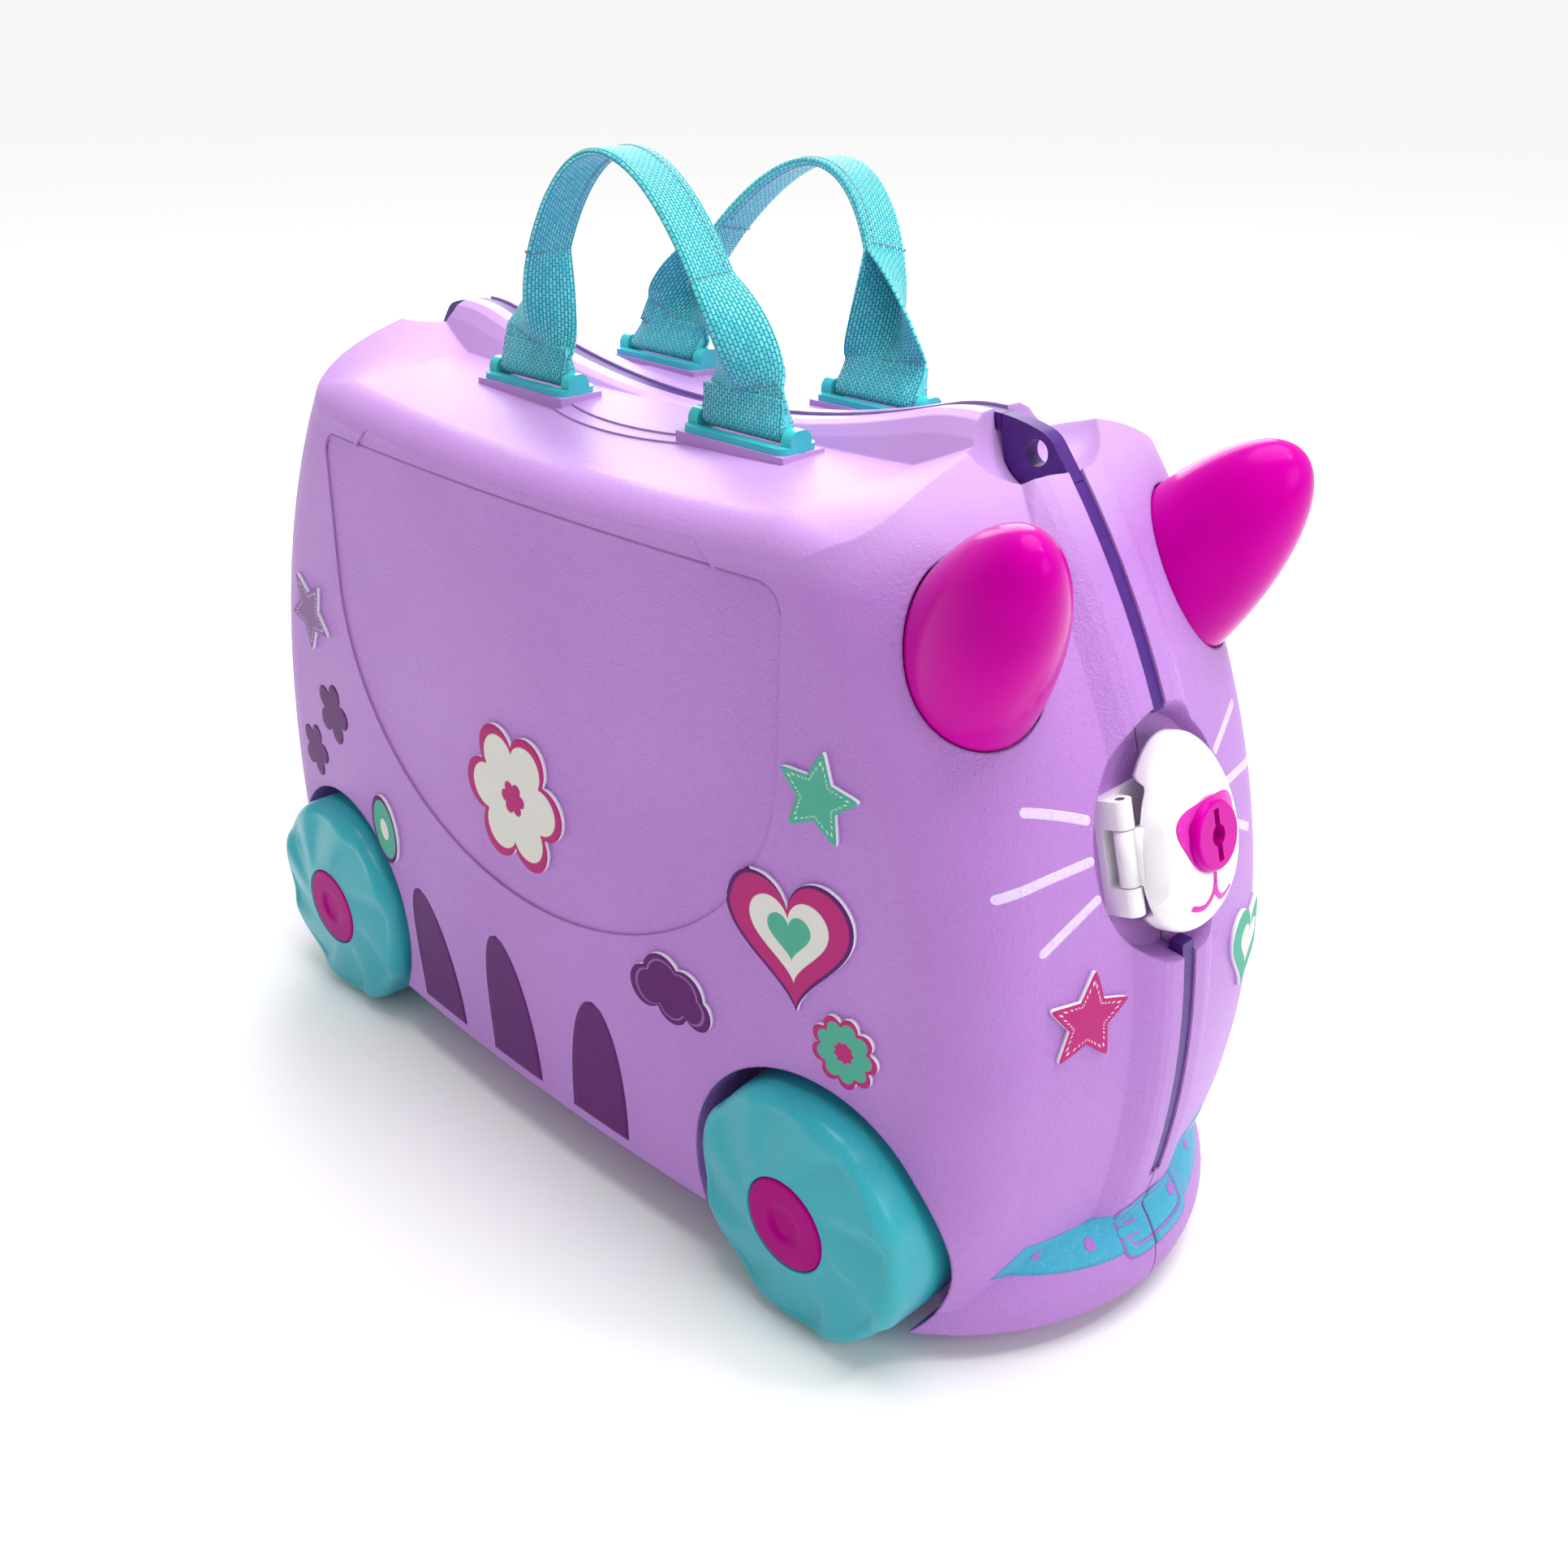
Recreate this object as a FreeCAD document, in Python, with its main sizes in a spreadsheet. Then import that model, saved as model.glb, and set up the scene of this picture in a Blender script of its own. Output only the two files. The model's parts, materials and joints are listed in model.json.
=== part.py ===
"""Ride-on suitcase: two hinged shells on four wheels, with horn grips, strap handles, clasps and seals.

Frame: +X is the front, +Y the left half, +Z up. The origin is on the floor under the middle of the case.
Lengths are millimetres and angles are degrees. Shapes are drawn for the right half and mirrored.
"""
import FreeCAD, Part
import math
import os
import Sketcher

V = FreeCAD.Vector
Rotation = FreeCAD.Rotation
Placement = FreeCAD.Placement

OVER = 5.0  # how far a cutting tool runs past what it cuts
NEAR = 0.01  # slack when an edge is picked by its place

SIZES = (
    ("Case body", (
        ("half_length", 220.0), ("end_radius", 290.0), ("end_apex_z", 108.0),
        ("floor_z", 24.0), ("foot_half_width", 97.5), ("top_half_width", 90.0),
        ("nose_foot", 210.0), ("nose_top", 170.0), ("corner_foot", 30.0), ("corner_top", 46.0),
        ("side_radius", 1500.0), ("wall", 3.0), ("seam_gap", 0.3))),
    ("Seat", (
        ("saddle_z", 279.5), ("saddle_radius", 1530.0), ("crown_radius", 720.0),
        ("shoulder_radius", 15.0), ("shoulder_z", 262.0), ("shoulder_over", 0.15), ("seat_low_z", 200.0),
        ("ramp_x", 119.0), ("cap_x", 150.0), ("cap_z", 298.5), ("cap_crown", 140.0),
        ("flank_slant", 15.0),
        ("step_rise", 0.6), ("step_length", 75.0), ("step_breadth", 48.0), ("step_narrow", 7.0))),
    ("Seam ridge", (
        ("ridge_proud", 5.0), ("dip_z", 281.2), ("hump_x", 133.0), ("hump_z", 301.0),
        ("hump_radius", 70.0), ("hump_corner", 10.0), ("ridge_flat", 9.0), ("ridge_foot", 30.0),
        ("ridge_sink", 4.0), ("hump_drop", 17.0))),
    ("Bumper lip", (
        ("lip_center_x", 125.0), ("lip_center_z", 20.0), ("lip_radius", 100.0),
        ("lip_rise", 50.0), ("lip_bottom_z", 11.5), ("lip_back_x", 168.0))),
    ("Side panel", (
        ("panel_half_length", 126.0), ("panel_top_z", 261.0), ("panel_waist_z", 203.0),
        ("panel_bottom_z", 108.0), ("panel_corner", 8.0), ("panel_depth", 0.8))),
    ("Wheels", (
        ("wheel_x", 144.0), ("wheel_radius", 47.3), ("wheel_face", 102.0), ("wheel_width", 36.0),
        ("wheel_rim_round", 7.0), ("wheel_face_fall", 2.5), ("wheel_core_depth", 24.0),
        ("wheel_web", 4.0), ("wheel_boss_radius", 10.0), ("petal_count", 8.0),
        ("petal_tilt", 5.0), ("petal_reach", 33.0), ("petal_land", 3.0),
        ("arch_gap", 4.7), ("arch_back_gap", 4.0),
        ("axle_radius", 4.0), ("axle_play", 0.06), ("axle_fit", 0.02), ("axle_boss_radius", 10.0),
        ("axle_boss_length", 16.0), ("axle_flange_radius", 7.5), ("axle_flange", 2.0),
        ("axle_tip", 1.0), ("clip_radius", 8.0), ("clip_thickness", 1.0), ("running_gap", 0.4),
        ("hub_recess_depth", 7.0), ("cap_radius", 17.5), ("cap_thickness", 3.0), ("cap_gap", 0.05),
        ("cap_bevel", 0.8), ("dimple_radius", 6.5), ("dimple_depth", 1.2))),
    ("Horn grips", (
        ("horn_x", 166.8), ("horn_y", 50.3), ("horn_z", 237.6), ("horn_yaw", 25.0), ("horn_lift", 53.0),
        ("horn_length", 63.0), ("horn_depth", 26.6), ("horn_breadth", 22.8), ("horn_gap", 0.5),
        ("horn_screw_radius", 2.0), ("horn_screw_grip", 16.0), ("horn_screw_head", 4.2),
        ("horn_screw_head_height", 2.6), ("horn_screw_room", 1.0), ("screw_fit", 0.02))),
    ("Tow eyelets", (
        ("eyelet_x", 152.0), ("eyelet_z", 290.5), ("eyelet_hole", 4.2), ("eyelet_rim", 13.0),
        ("eyelet_rim_z", 292.0), ("eyelet_tail_back", 138.0), ("eyelet_tail_front", 166.0),
        ("scoop_length", 17.0), ("scoop_breadth", 34.0), ("scoop_depth", 25.0),
        ("scoop_x", 152.0), ("scoop_z", 304.0), ("scoop_pad", 9.0), ("eyelet_room", 0.5))),
    ("Seal", (
        ("seal_half_width", 3.0), ("seal_depth", 5.0), ("seal_inset", 0.8), ("seal_gap", 0.3),
        ("groove_over", 2.0),
        ("seal_upper_end_z", 221.0), ("seal_lower_top_z", 148.0), ("seal_lower_end_z", 56.0))),
    ("Strap handles", (
        ("handle_x", 57.0), ("handle_y", 32.0), ("seat_z", 282.6), ("seat_margin", 1.0), ("bar_height", 5.2),
        ("bar_radius", 2.0), ("strap_width", 38.0), ("strap_thickness", 2.4), ("loop_radius", 4.4),
        ("loop_gap", 0.3), ("grip_width", 19.0), ("grip_thickness", 4.6),
        ("right_rise", 80.0), ("left_rise", 72.0), ("right_lean", 4.0), ("left_lean", 22.0),
        ("handle_skew", 5.0),
        ("anchor_length", 49.0), ("anchor_width", 17.0), ("anchor_plate", 2.2), ("anchor_lug", 4.6),
        ("anchor_corner", 4.0), ("lug_round", 3.7), ("post_radius", 2.6), ("post_length", 10.0),
        ("post_foot_radius", 4.4), ("post_foot", 1.6), ("post_gap", 0.2))),
    ("Clasps", (
        ("clasp_z", 184.0), ("clasp_sink", 4.0), ("dish_floor", 9.0), ("dish_top", 7.0),
        ("dish_half_width", 33.0), ("dish_half_height", 37.0), ("dish_flare", 14.0), ("dish_pad", 3.0),
        ("cover_bottom_radius", 24.5), ("cover_top_radius", 15.0), ("cover_side_radius", 72.0),
        ("cover_half_height", 32.0), ("cover_rim_z", -2.4), ("cover_top_z", 12.6), ("cover_round", 8.0),
        ("cover_wall", 2.2), ("cover_shift", 2.0),
        ("tab_radius", 30.0), ("tab_center_x", -45.0), ("tab_floor_z", 4.0), ("tab_proud", 0.6),
        ("tab_gap", 0.25),
        ("pin_x", -22.5), ("pin_z", -1.0), ("pin_radius", 1.5), ("pin_play", 0.05), ("pin_fit", 0.02),
        ("knuckle_radius", 3.4), ("knuckle_half", 9.0), ("knuckle_web", 3.0),
        ("lug_length", 9.0), ("lug_gap", 0.4), ("lug_inset", 2.0),
        ("base_plate", 2.5), ("base_front", -2.0), ("peg_radius", 2.4), ("peg_fit", 0.02),
        ("peg_length", 4.0), ("peg_y", 16.0), ("peg_x", -11.0), ("peg_margin", 4.0),
        ("keeper_x", 11.0), ("keeper_length", 9.0), ("keeper_half_height", 9.0),
        ("keeper_height", 6.0), ("keeper_lip", 2.0), ("keeper_shift", 2.0),
        ("lock_radius", 11.2), ("lock_proud", 2.6), ("lock_seat", 2.0), ("lock_shaft_radius", 4.0),
        ("lock_play", 0.06), ("lock_room", 0.24), ("lock_cam_length", 13.0), 
        ("lock_cam_width", 5.0), ("lock_cam", 2.5),
        ("keyhole_radius", 3.4), ("keyhole_depth", 3.5), ("keyhole_slot", 2.6), ("keyhole_reach", 8.4))),
    ("Case hinge", (
        ("hinge_z", 11.0), ("hinge_half_length", 150.0), ("hinge_barrel", 5.4), ("hinge_pin", 2.5),
        ("hinge_play", 0.05), ("hinge_fit", 0.02), ("hinge_knuckles", 5.0), ("hinge_gap", 0.6))),
)

doc = FreeCAD.newDocument("ride_on_case")
sheet = doc.addObject("Spreadsheet::Sheet", "sizes")


def fill_sheet():
    """Write each driving dimension to its own aliased cell, group by group."""
    row = 1
    for group, entries in SIZES:
        sheet.set("A%d" % row, group)
        row += 1
        for alias, value in entries:
            sheet.set("A%d" % row, alias)
            sheet.set("B%d" % row, repr(value))
            sheet.setAlias("B%d" % row, alias)
            row += 1
    doc.recompute()


def size(alias):
    """Value of one driving dimension."""
    return float(sheet.get(alias))


def bind(obj, expressions):
    """Tie properties of an object to formulas of the sheet's aliases, each written with a leading $."""
    for prop, formula in expressions.items():
        obj.setExpression(prop, formula.replace("$", "sizes."))
    return obj


def add(kind, name, expressions=None, **props):
    """New document object with plain properties and bound ones."""
    obj = doc.addObject(kind, name)
    for prop, value in props.items():
        setattr(obj, prop, value)
    return bind(obj, expressions or {})


def solid(name, shape, placement=None):
    """Document object that holds a shape worked out from the sheet."""
    obj = doc.addObject("Part::Feature", name)
    obj.Shape = shape
    if placement is not None:
        obj.Placement = placement
    return obj


def fuse(name, *objects):
    return add("Part::MultiFuse", name, Shapes=list(objects))


def common(name, *objects):
    return add("Part::MultiCommon", name, Shapes=list(objects))


def cut(name, base, *tools):
    """Base without the tools. Several tools go in one after another."""
    result = base
    for index, tool in enumerate(tools):
        last = index == len(tools) - 1
        result = add("Part::Cut", name if last else "%s_%d" % (name, index), Base=result, Tool=tool)
    return result


def mirror(name, source, normal):
    return add("Part::Mirroring", name, Source=source, Normal=normal)


def round_edges(name, base, radius, chosen):
    """Fillet on those edges of the base that the chosen test accepts."""
    doc.recompute()
    edges = [(number, radius, radius) for number, edge in enumerate(base.Shape.Edges, 1) if chosen(edge)]
    return add("Part::Fillet", name, Base=base, Edges=edges)


def circle_meet(center_a, radius_a, center_b, radius_b):
    """The two points where two circles cross."""
    dx = center_b[0] - center_a[0]
    dy = center_b[1] - center_a[1]
    gap = math.hypot(dx, dy)
    along = (radius_a ** 2 - radius_b ** 2 + gap ** 2) / (2 * gap)
    across = math.sqrt(radius_a ** 2 - along ** 2)
    x = center_a[0] + along * dx / gap
    y = center_a[1] + along * dy / gap
    return ((x + across * dy / gap, y - across * dx / gap), (x - across * dy / gap, y + across * dx / gap))


def on_circle(center, radius, toward):
    """Point of a circle in the direction of another point."""
    reach = math.hypot(toward[0] - center[0], toward[1] - center[1])
    return (center[0] + (toward[0] - center[0]) * radius / reach,
            center[1] + (toward[1] - center[1]) * radius / reach)


def arc_through(center, radius, start, end, lift):
    """Arc of a circle between two of its points, lifted from the plane to space."""
    middle = on_circle(center, radius, ((start[0] + end[0]) / 2, (start[1] + end[1]) / 2))
    return Part.Arc(lift(start), lift(middle), lift(end)).toShape()


def end_center_x():
    """Centre of the arc that an end wall follows from floor to top."""
    return size("half_length") - size("end_radius")


def end_reach(z, inset):
    """Distance from the middle of the case to the end wall at height z."""
    radius = size("end_radius") - inset
    return end_center_x() + math.sqrt(radius ** 2 - (z - size("end_apex_z")) ** 2)


def side_reach(z, inset):
    """Distance from the seam to the side wall at height z."""
    lean = (size("foot_half_width") - size("top_half_width")) / (size("saddle_z") - size("floor_z"))
    return size("foot_half_width") - lean * (z - size("floor_z")) - inset


def between(start, end, part):
    return start + (end - start) * part


def rounding(z):
    """How far the ends and corners have rounded off at height z: 0 at the floor, 1 at the seat."""
    return ((z - size("floor_z")) / (size("saddle_z") - size("floor_z"))) ** 2


def plan_wire(z, inset):
    """Half plan at height z: nose arcs at the ends, tangent corner arcs and one flat side arc."""
    length = end_reach(z, inset)
    width = side_reach(z, inset)
    nose = between(size("nose_foot"), size("nose_top"), rounding(z))
    side = size("side_radius")
    corner = between(size("corner_foot"), size("corner_top"), rounding(z)) - inset
    nose_center = (length - nose, 0.0)
    side_center = (0.0, side - width)
    corner_center = max(circle_meet(nose_center, nose - corner, side_center, side - corner))
    tip = (length, 0.0)
    front = on_circle(nose_center, nose, corner_center)
    flank = on_circle(side_center, side, corner_center)

    def right(point):
        return V(point[0], point[1], z)

    def mirrored(point):
        return V(-point[0], point[1], z)

    edges = [arc_through(nose_center, nose, tip, front, right),
             arc_through(corner_center, corner, front, flank, right),
             Part.Arc(right(flank), V(0, -width, z), mirrored(flank)).toShape(),
             arc_through(corner_center, corner, flank, front, mirrored),
             arc_through(nose_center, nose, front, tip, mirrored),
             Part.makeLine(mirrored(tip), right(tip))]
    return Part.Wire(edges)


WALL_LEVELS = 7


def walls(inset, floor):
    """Half body with upright walls, from its floor to above the humps, drawn in by the inset."""
    low = size("floor_z") + floor
    high = size("hump_z") + 2 * OVER
    heights = [between(low, high, step / (WALL_LEVELS - 1)) for step in range(WALL_LEVELS)]
    return Part.makeLoft([plan_wire(z, inset) for z in heights], True, False)


def saddle_top(x):
    """Height of the seat over the seam at x, on the arc that dips lengthwise."""
    return size("saddle_z") + size("saddle_radius") - math.sqrt(size("saddle_radius") ** 2 - x ** 2)


def seat_section(x, inset, top, crown):
    """Cross-section of the seat at x: crowned top, round shoulder, and a flank that leaves the wall free."""
    low = size("seat_low_z")
    radius = size("shoulder_radius") - inset
    crown -= inset
    width = side_reach(size("shoulder_z"), inset) - x ** 2 / (2 * size("side_radius")) + size("shoulder_over")
    center = (0.0, top - inset - crown)
    shoulder = (radius - width, center[1] + math.sqrt((crown - radius) ** 2 - (width - radius) ** 2))
    inner = (OVER, center[1] + math.sqrt(crown ** 2 - OVER ** 2))
    tangent = on_circle(center, crown, shoulder)
    outer = (-width, shoulder[1])
    foot = (-width - size("flank_slant"), low)

    def at(point):
        return V(x, point[0], point[1])

    edges = [Part.makeLine(at((OVER, low)), at(inner)),
             arc_through(center, crown, inner, tangent, at),
             arc_through(shoulder, radius, tangent, outer, at),
             Part.makeLine(at(outer), at(foot)),
             Part.makeLine(at(foot), at((OVER, low)))]
    return Part.Wire(edges)


def seat_middle(inset):
    """Seat between the end caps."""
    reach = size("ramp_x")
    stations = (-reach, -reach / 2, 0.0, reach / 2, reach)
    return Part.makeLoft([seat_section(x, inset, saddle_top(x), size("crown_radius")) for x in stations],
                         True, False)


def seat(inset):
    """Block under the seat: its middle, ramps up to the crowned end caps, and room for the walls beyond."""
    reach = size("half_length")
    width = size("foot_half_width") + OVER
    rest = [Part.makeBox(2 * reach, width + OVER, size("seat_low_z"), V(-reach, -width, 0))]
    for way in (-1, 1):
        foot = seat_section(way * size("ramp_x"), inset, saddle_top(size("ramp_x")), size("crown_radius"))
        crest = seat_section(way * size("cap_x"), inset, size("cap_z"), size("cap_crown"))
        rest.append(Part.makeLoft([foot, crest], True, True))
        start = size("cap_x") if way > 0 else -reach
        rest.append(Part.makeBox(reach - size("cap_x"), width + OVER, size("hump_z") + OVER,
                                 V(start, -width, 0)))
    return seat_middle(inset).multiFuse(rest)


def half_body(name, inset):
    """Half of the case as a full solid with rounded shoulders, drawn in by the inset."""
    return common(name, solid(name + "_walls", walls(inset, inset)), solid(name + "_seat", seat(inset)))


def seat_steps():
    """Low oval steps of the seat round the handles, one inside the other."""
    steps = []
    for index in (0, 1):
        rise = size("step_rise") * (index + 1)
        edge = oval(size("step_length") - index * size("step_narrow"),
                    size("step_breadth") - index * size("step_narrow"), size("seat_low_z"))
        disc = Part.Face(Part.Wire([edge])).extrude(V(0, 0, size("hump_z") - size("seat_low_z")))
        steps.append(solid("seat_step_%d" % index, seat_middle(-rise).common(disc)))
    return steps


def ridge_wire(y, inset, drop):
    """Lengthwise profile of the seam ridge: end arcs, round humps and the dip of the seat between them."""
    end_center = (end_center_x(), size("end_apex_z"))
    end_radius = size("end_radius") + size("ridge_proud") - inset
    hump_radius = size("hump_radius")
    hump_center = (size("hump_x"), size("hump_z") - hump_radius - drop)
    sink = size("dip_z") - drop * size("ridge_sink") / size("hump_drop") - hump_center[1]
    dip_radius = (size("hump_x") ** 2 + sink ** 2 - hump_radius ** 2) / (2 * (hump_radius - sink))
    dip_center = (0.0, hump_center[1] + sink + dip_radius)
    hump_radius -= inset
    dip_radius += inset
    corner = size("hump_corner")
    corner_center = max(circle_meet(end_center, end_radius - corner, hump_center, hump_radius - corner),
                        key=lambda point: point[1])
    low = size("floor_z")
    foot = (end_center[0] + math.sqrt(end_radius ** 2 - (low - end_center[1]) ** 2), low)
    brow = on_circle(end_center, end_radius, corner_center)
    top = on_circle(hump_center, hump_radius, corner_center)
    dip_end = on_circle(hump_center, hump_radius, dip_center)

    def front(point):
        return V(point[0], y, point[1])

    def rear(point):
        return V(-point[0], y, point[1])

    edges = [arc_through(end_center, end_radius, foot, brow, front),
             arc_through(corner_center, corner, brow, top, front),
             arc_through(hump_center, hump_radius, top, dip_end, front),
             Part.Arc(front(dip_end), V(0, y, dip_center[1] - dip_radius), rear(dip_end)).toShape(),
             arc_through(hump_center, hump_radius, dip_end, top, rear),
             arc_through(corner_center, corner, top, brow, rear),
             arc_through(end_center, end_radius, brow, foot, rear),
             Part.makeLine(rear(foot), front(foot))]
    return Part.Wire(edges)


RIDGE_STEPS = 6


def ridge():
    """Raised band along the seam, whose flanks fall in a soft S to just under the body."""
    flat = size("ridge_flat")
    foot = size("ridge_foot")
    sections = [ridge_wire(OVER, 0.0, 0.0)]
    for step in range(RIDGE_STEPS + 1):
        part = step / RIDGE_STEPS
        fall = (1 - math.cos(math.pi * part)) / 2
        sink = (size("ridge_proud") + size("ridge_sink")) * fall
        sections.append(ridge_wire(-flat - (foot - flat) * part, sink, size("hump_drop") * fall))
    return Part.makeLoft(sections, True, True)


def ridge_prism(name, inset, half_width):
    """Full-length block inside the ridge line, as wide as the seal groove."""
    wire = ridge_wire(-half_width, inset, 0.0)
    return solid(name, Part.Face(wire).extrude(V(0, 2 * half_width, 0)))


def block(name, low, high):
    """Box between two corners whose places are formulas of the sheet."""
    formulas = {}
    for axis, side, start, end in zip("xyz", ("Length", "Width", "Height"), low, high):
        formulas["Placement.Base." + axis] = start
        formulas[side] = "(%s) - (%s)" % (end, start)
    return add("Part::Box", name, formulas)


def bumper_lip():
    """Swollen lip at the foot of the front end: an ellipsoid trimmed flat below and behind."""
    egg = add("Part::Ellipsoid", "bumper_egg",
              {"Radius1": "$lip_rise", "Radius2": "$lip_radius", "Radius3": "$lip_radius",
               "Placement.Base.x": "$lip_center_x", "Placement.Base.z": "$lip_center_z"},
              Angle1=-90, Angle2=90)
    trim = block("bumper_trim", ("$lip_back_x", "-$lip_radius", "$lip_bottom_z"),
                 (f"$lip_center_x + $lip_radius + {OVER}", f"{OVER}", "$lip_center_z + $lip_rise"))
    return common("bumper_lip", egg, trim)


def both_ends(shape):
    """A front shape and its mirror at the rear."""
    return [shape, mirror(shape.Name + "_rear", shape, V(1, 0, 0))]


def cross_cylinder(name, radius, x, z, outer, inner):
    """Cylinder along Y on the right half between two distances from the seam."""
    return add("Part::Cylinder", name,
               {"Radius": radius, "Height": "(%s) - (%s)" % (outer, inner), "Placement.Base.x": x,
                "Placement.Base.y": "-(%s)" % inner, "Placement.Base.z": z},
               Placement=Placement(V(), Rotation(V(1, 0, 0), 90)))


def horn_placement(depth):
    """Frame of the right horn: Z along the horn, origin on its axis at a depth under its base plane."""
    turn = Rotation(-size("horn_yaw"), 90 - size("horn_lift"), 0)
    base = V(size("horn_x"), -size("horn_y"), size("horn_z"))
    return Placement(base - turn.multVec(V(0, 0, depth)), turn)


def horn_dome(name, grow, depth):
    """Half ellipsoid of the horn, grown all round and sunk along its axis."""
    dome = add("Part::Ellipsoid", name,
               {"Radius1": "$horn_length + %g" % grow, "Radius2": "$horn_depth + %g" % grow,
                "Radius3": "$horn_breadth + %g" % grow}, Angle1=0, Angle2=90)
    dome.Placement = horn_placement(depth)
    return dome


def clasp_frame(front):
    """Frame of a clasp: X across the seam from the hinge side, Y up the end wall, Z out of it."""
    radius = size("end_radius") + size("ridge_proud")
    slope = math.asin((size("clasp_z") - size("end_apex_z")) / radius)
    outward = V(math.cos(slope), 0, math.sin(slope))
    upward = V(-math.sin(slope), 0, math.cos(slope))
    origin = V(end_center_x(), 0, size("end_apex_z")) + outward * (radius - size("clasp_sink"))
    place = Placement(origin, Rotation(V(0, 1, 0), upward, outward, "ZXY"))
    if front:
        return place
    return Placement(V(), Rotation(V(0, 0, 1), 180)).multiply(place)


def oval(half_width, half_height, z):
    """Ellipse of the clasp dish at one height."""
    if half_width > half_height:
        return Part.Ellipse(V(0, 0, z), half_width, half_height).toShape()
    edge = Part.Ellipse(V(0, 0, z), half_height, half_width).toShape()
    edge.rotate(V(0, 0, z), V(0, 0, 1), 90)
    return edge


DISH_STEPS = 6


def dish(name, front):
    """Oval recess that a clasp sits in, whose sides open out in a soft S."""
    rings = []
    for step in range(DISH_STEPS + 1):
        part = step / DISH_STEPS
        out = size("dish_flare") * (part + part ** 3) / 2
        z = between(-size("dish_floor"), size("dish_top"), math.sin(part * math.pi / 2))
        rings.append(Part.Wire([oval(size("dish_half_width") + out, size("dish_half_height") + out, z)]))
    return solid(name, Part.makeLoft(rings, True, True), clasp_frame(front))


def dish_pad(name, front):
    """Thickened wall behind a clasp dish, taken out of the hollow."""
    flare = size("dish_flare")
    face = Part.Face(Part.Wire([oval(size("dish_half_width") + flare / 2,
                                     size("dish_half_height") + flare / 2,
                                     -size("dish_floor") - size("dish_pad"))]))
    return solid(name, face.extrude(V(0, 0, size("dish_floor") + size("dish_pad"))), clasp_frame(front))


def peg_holes(name, front, side):
    """Holes of a clasp base's two pegs, for the half on the given side of the seam."""
    bore = size("peg_radius") + size("peg_fit")
    deep = size("dish_floor") + size("peg_length") + size("dish_pad")
    holes = [Part.makeCylinder(bore, deep, V(side * size("peg_x"), sign * size("peg_y"), -deep))
             for sign in (-1, 1)]
    return solid(name, Part.makeCompound(holes), clasp_frame(front))


def panel_tool(name):
    """Shallow recess of the side panel, which follows the wall's own curve."""
    slab = block(name + "_slab", ("-$panel_half_length", f"-$foot_half_width - {OVER}", "$panel_waist_z"),
                 ("$panel_half_length", "-$top_half_width / 2", "$panel_top_z"))

    def upper_corner(edge):
        box = edge.BoundBox
        return box.YLength > NEAR and box.XLength < NEAR and box.ZMin > size("panel_top_z") - NEAR

    rounded = round_edges(name + "_rounded", slab, size("panel_corner"), upper_corner)
    bowl = oval(size("panel_half_length"), size("panel_waist_z") - size("panel_bottom_z"), 0)
    depth = size("foot_half_width") + OVER - size("top_half_width") / 2
    prism = Part.Face(Part.Wire([bowl])).extrude(V(0, 0, depth))
    bowl_prism = solid(name + "_bowl", prism,
                       Placement(V(0, -size("top_half_width") / 2, size("panel_waist_z")),
                                 Rotation(V(1, 0, 0), 90)))
    outline = fuse(name + "_outline", rounded, bowl_prism)
    return cut(name, outline, solid(name + "_floor", walls(size("panel_depth"), 0.0)))


def seal_channels(name, inset, depth, half_width):
    """Band under the ridge line: what the seal fills, or with larger values the groove for it."""
    outer = ridge_prism(name + "_outer", inset, half_width)
    inner = ridge_prism(name + "_inner", inset + depth, half_width)
    return cut(name, outer, inner)


def seal_windows(name, grow):
    """Stretches where the seal shows: over the seat, above and below each clasp."""
    y_low, y_high = f"-$seal_half_width - {OVER}", f"$seal_half_width + {OVER}"
    top = block(name + "_top", (f"-$eyelet_tail_back - {grow}", y_low, "$floor_z"),
                (f"$eyelet_tail_back + {grow}", y_high, f"$hump_z + {OVER}"))
    far = f"$half_length + $ridge_proud + {OVER}"
    upper = block(name + "_upper", (f"$eyelet_tail_front - {grow}", y_low, f"$seal_upper_end_z - {grow}"),
                  (far, y_high, f"$hump_z + {OVER}"))
    lower = block(name + "_lower", ("$eyelet_tail_front", y_low, f"$seal_lower_end_z - {grow}"),
                  (far, y_high, f"$seal_lower_top_z + {grow}"))
    return top, upper, lower


def outer_form():
    """Full solid of the right half: body, seam ridge, bumper lips and the flat seats of its handle."""
    body = half_body("outer_body", 0.0)
    band = solid("seam_ridge", ridge())
    seats = [block("handle_seat_%d" % index,
                   (f"{sign}$handle_x - $anchor_length / 2 - $seat_margin",
                    "-$handle_y - $anchor_width / 2 - $seat_margin", "$saddle_z - $wall"),
                   (f"{sign}$handle_x + $anchor_length / 2 + $seat_margin",
                    "-$handle_y + $anchor_width / 2 + $seat_margin", "$seat_z"))
             for index, sign in enumerate(("", "-"))]
    return fuse("outside", body, band, *both_ends(bumper_lip()), *seat_steps(), *seats)


TUB_BACK = "$wheel_face - $wheel_width - $arch_back_gap"
BOSS_END = TUB_BACK + " - $axle_boss_length"


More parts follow.
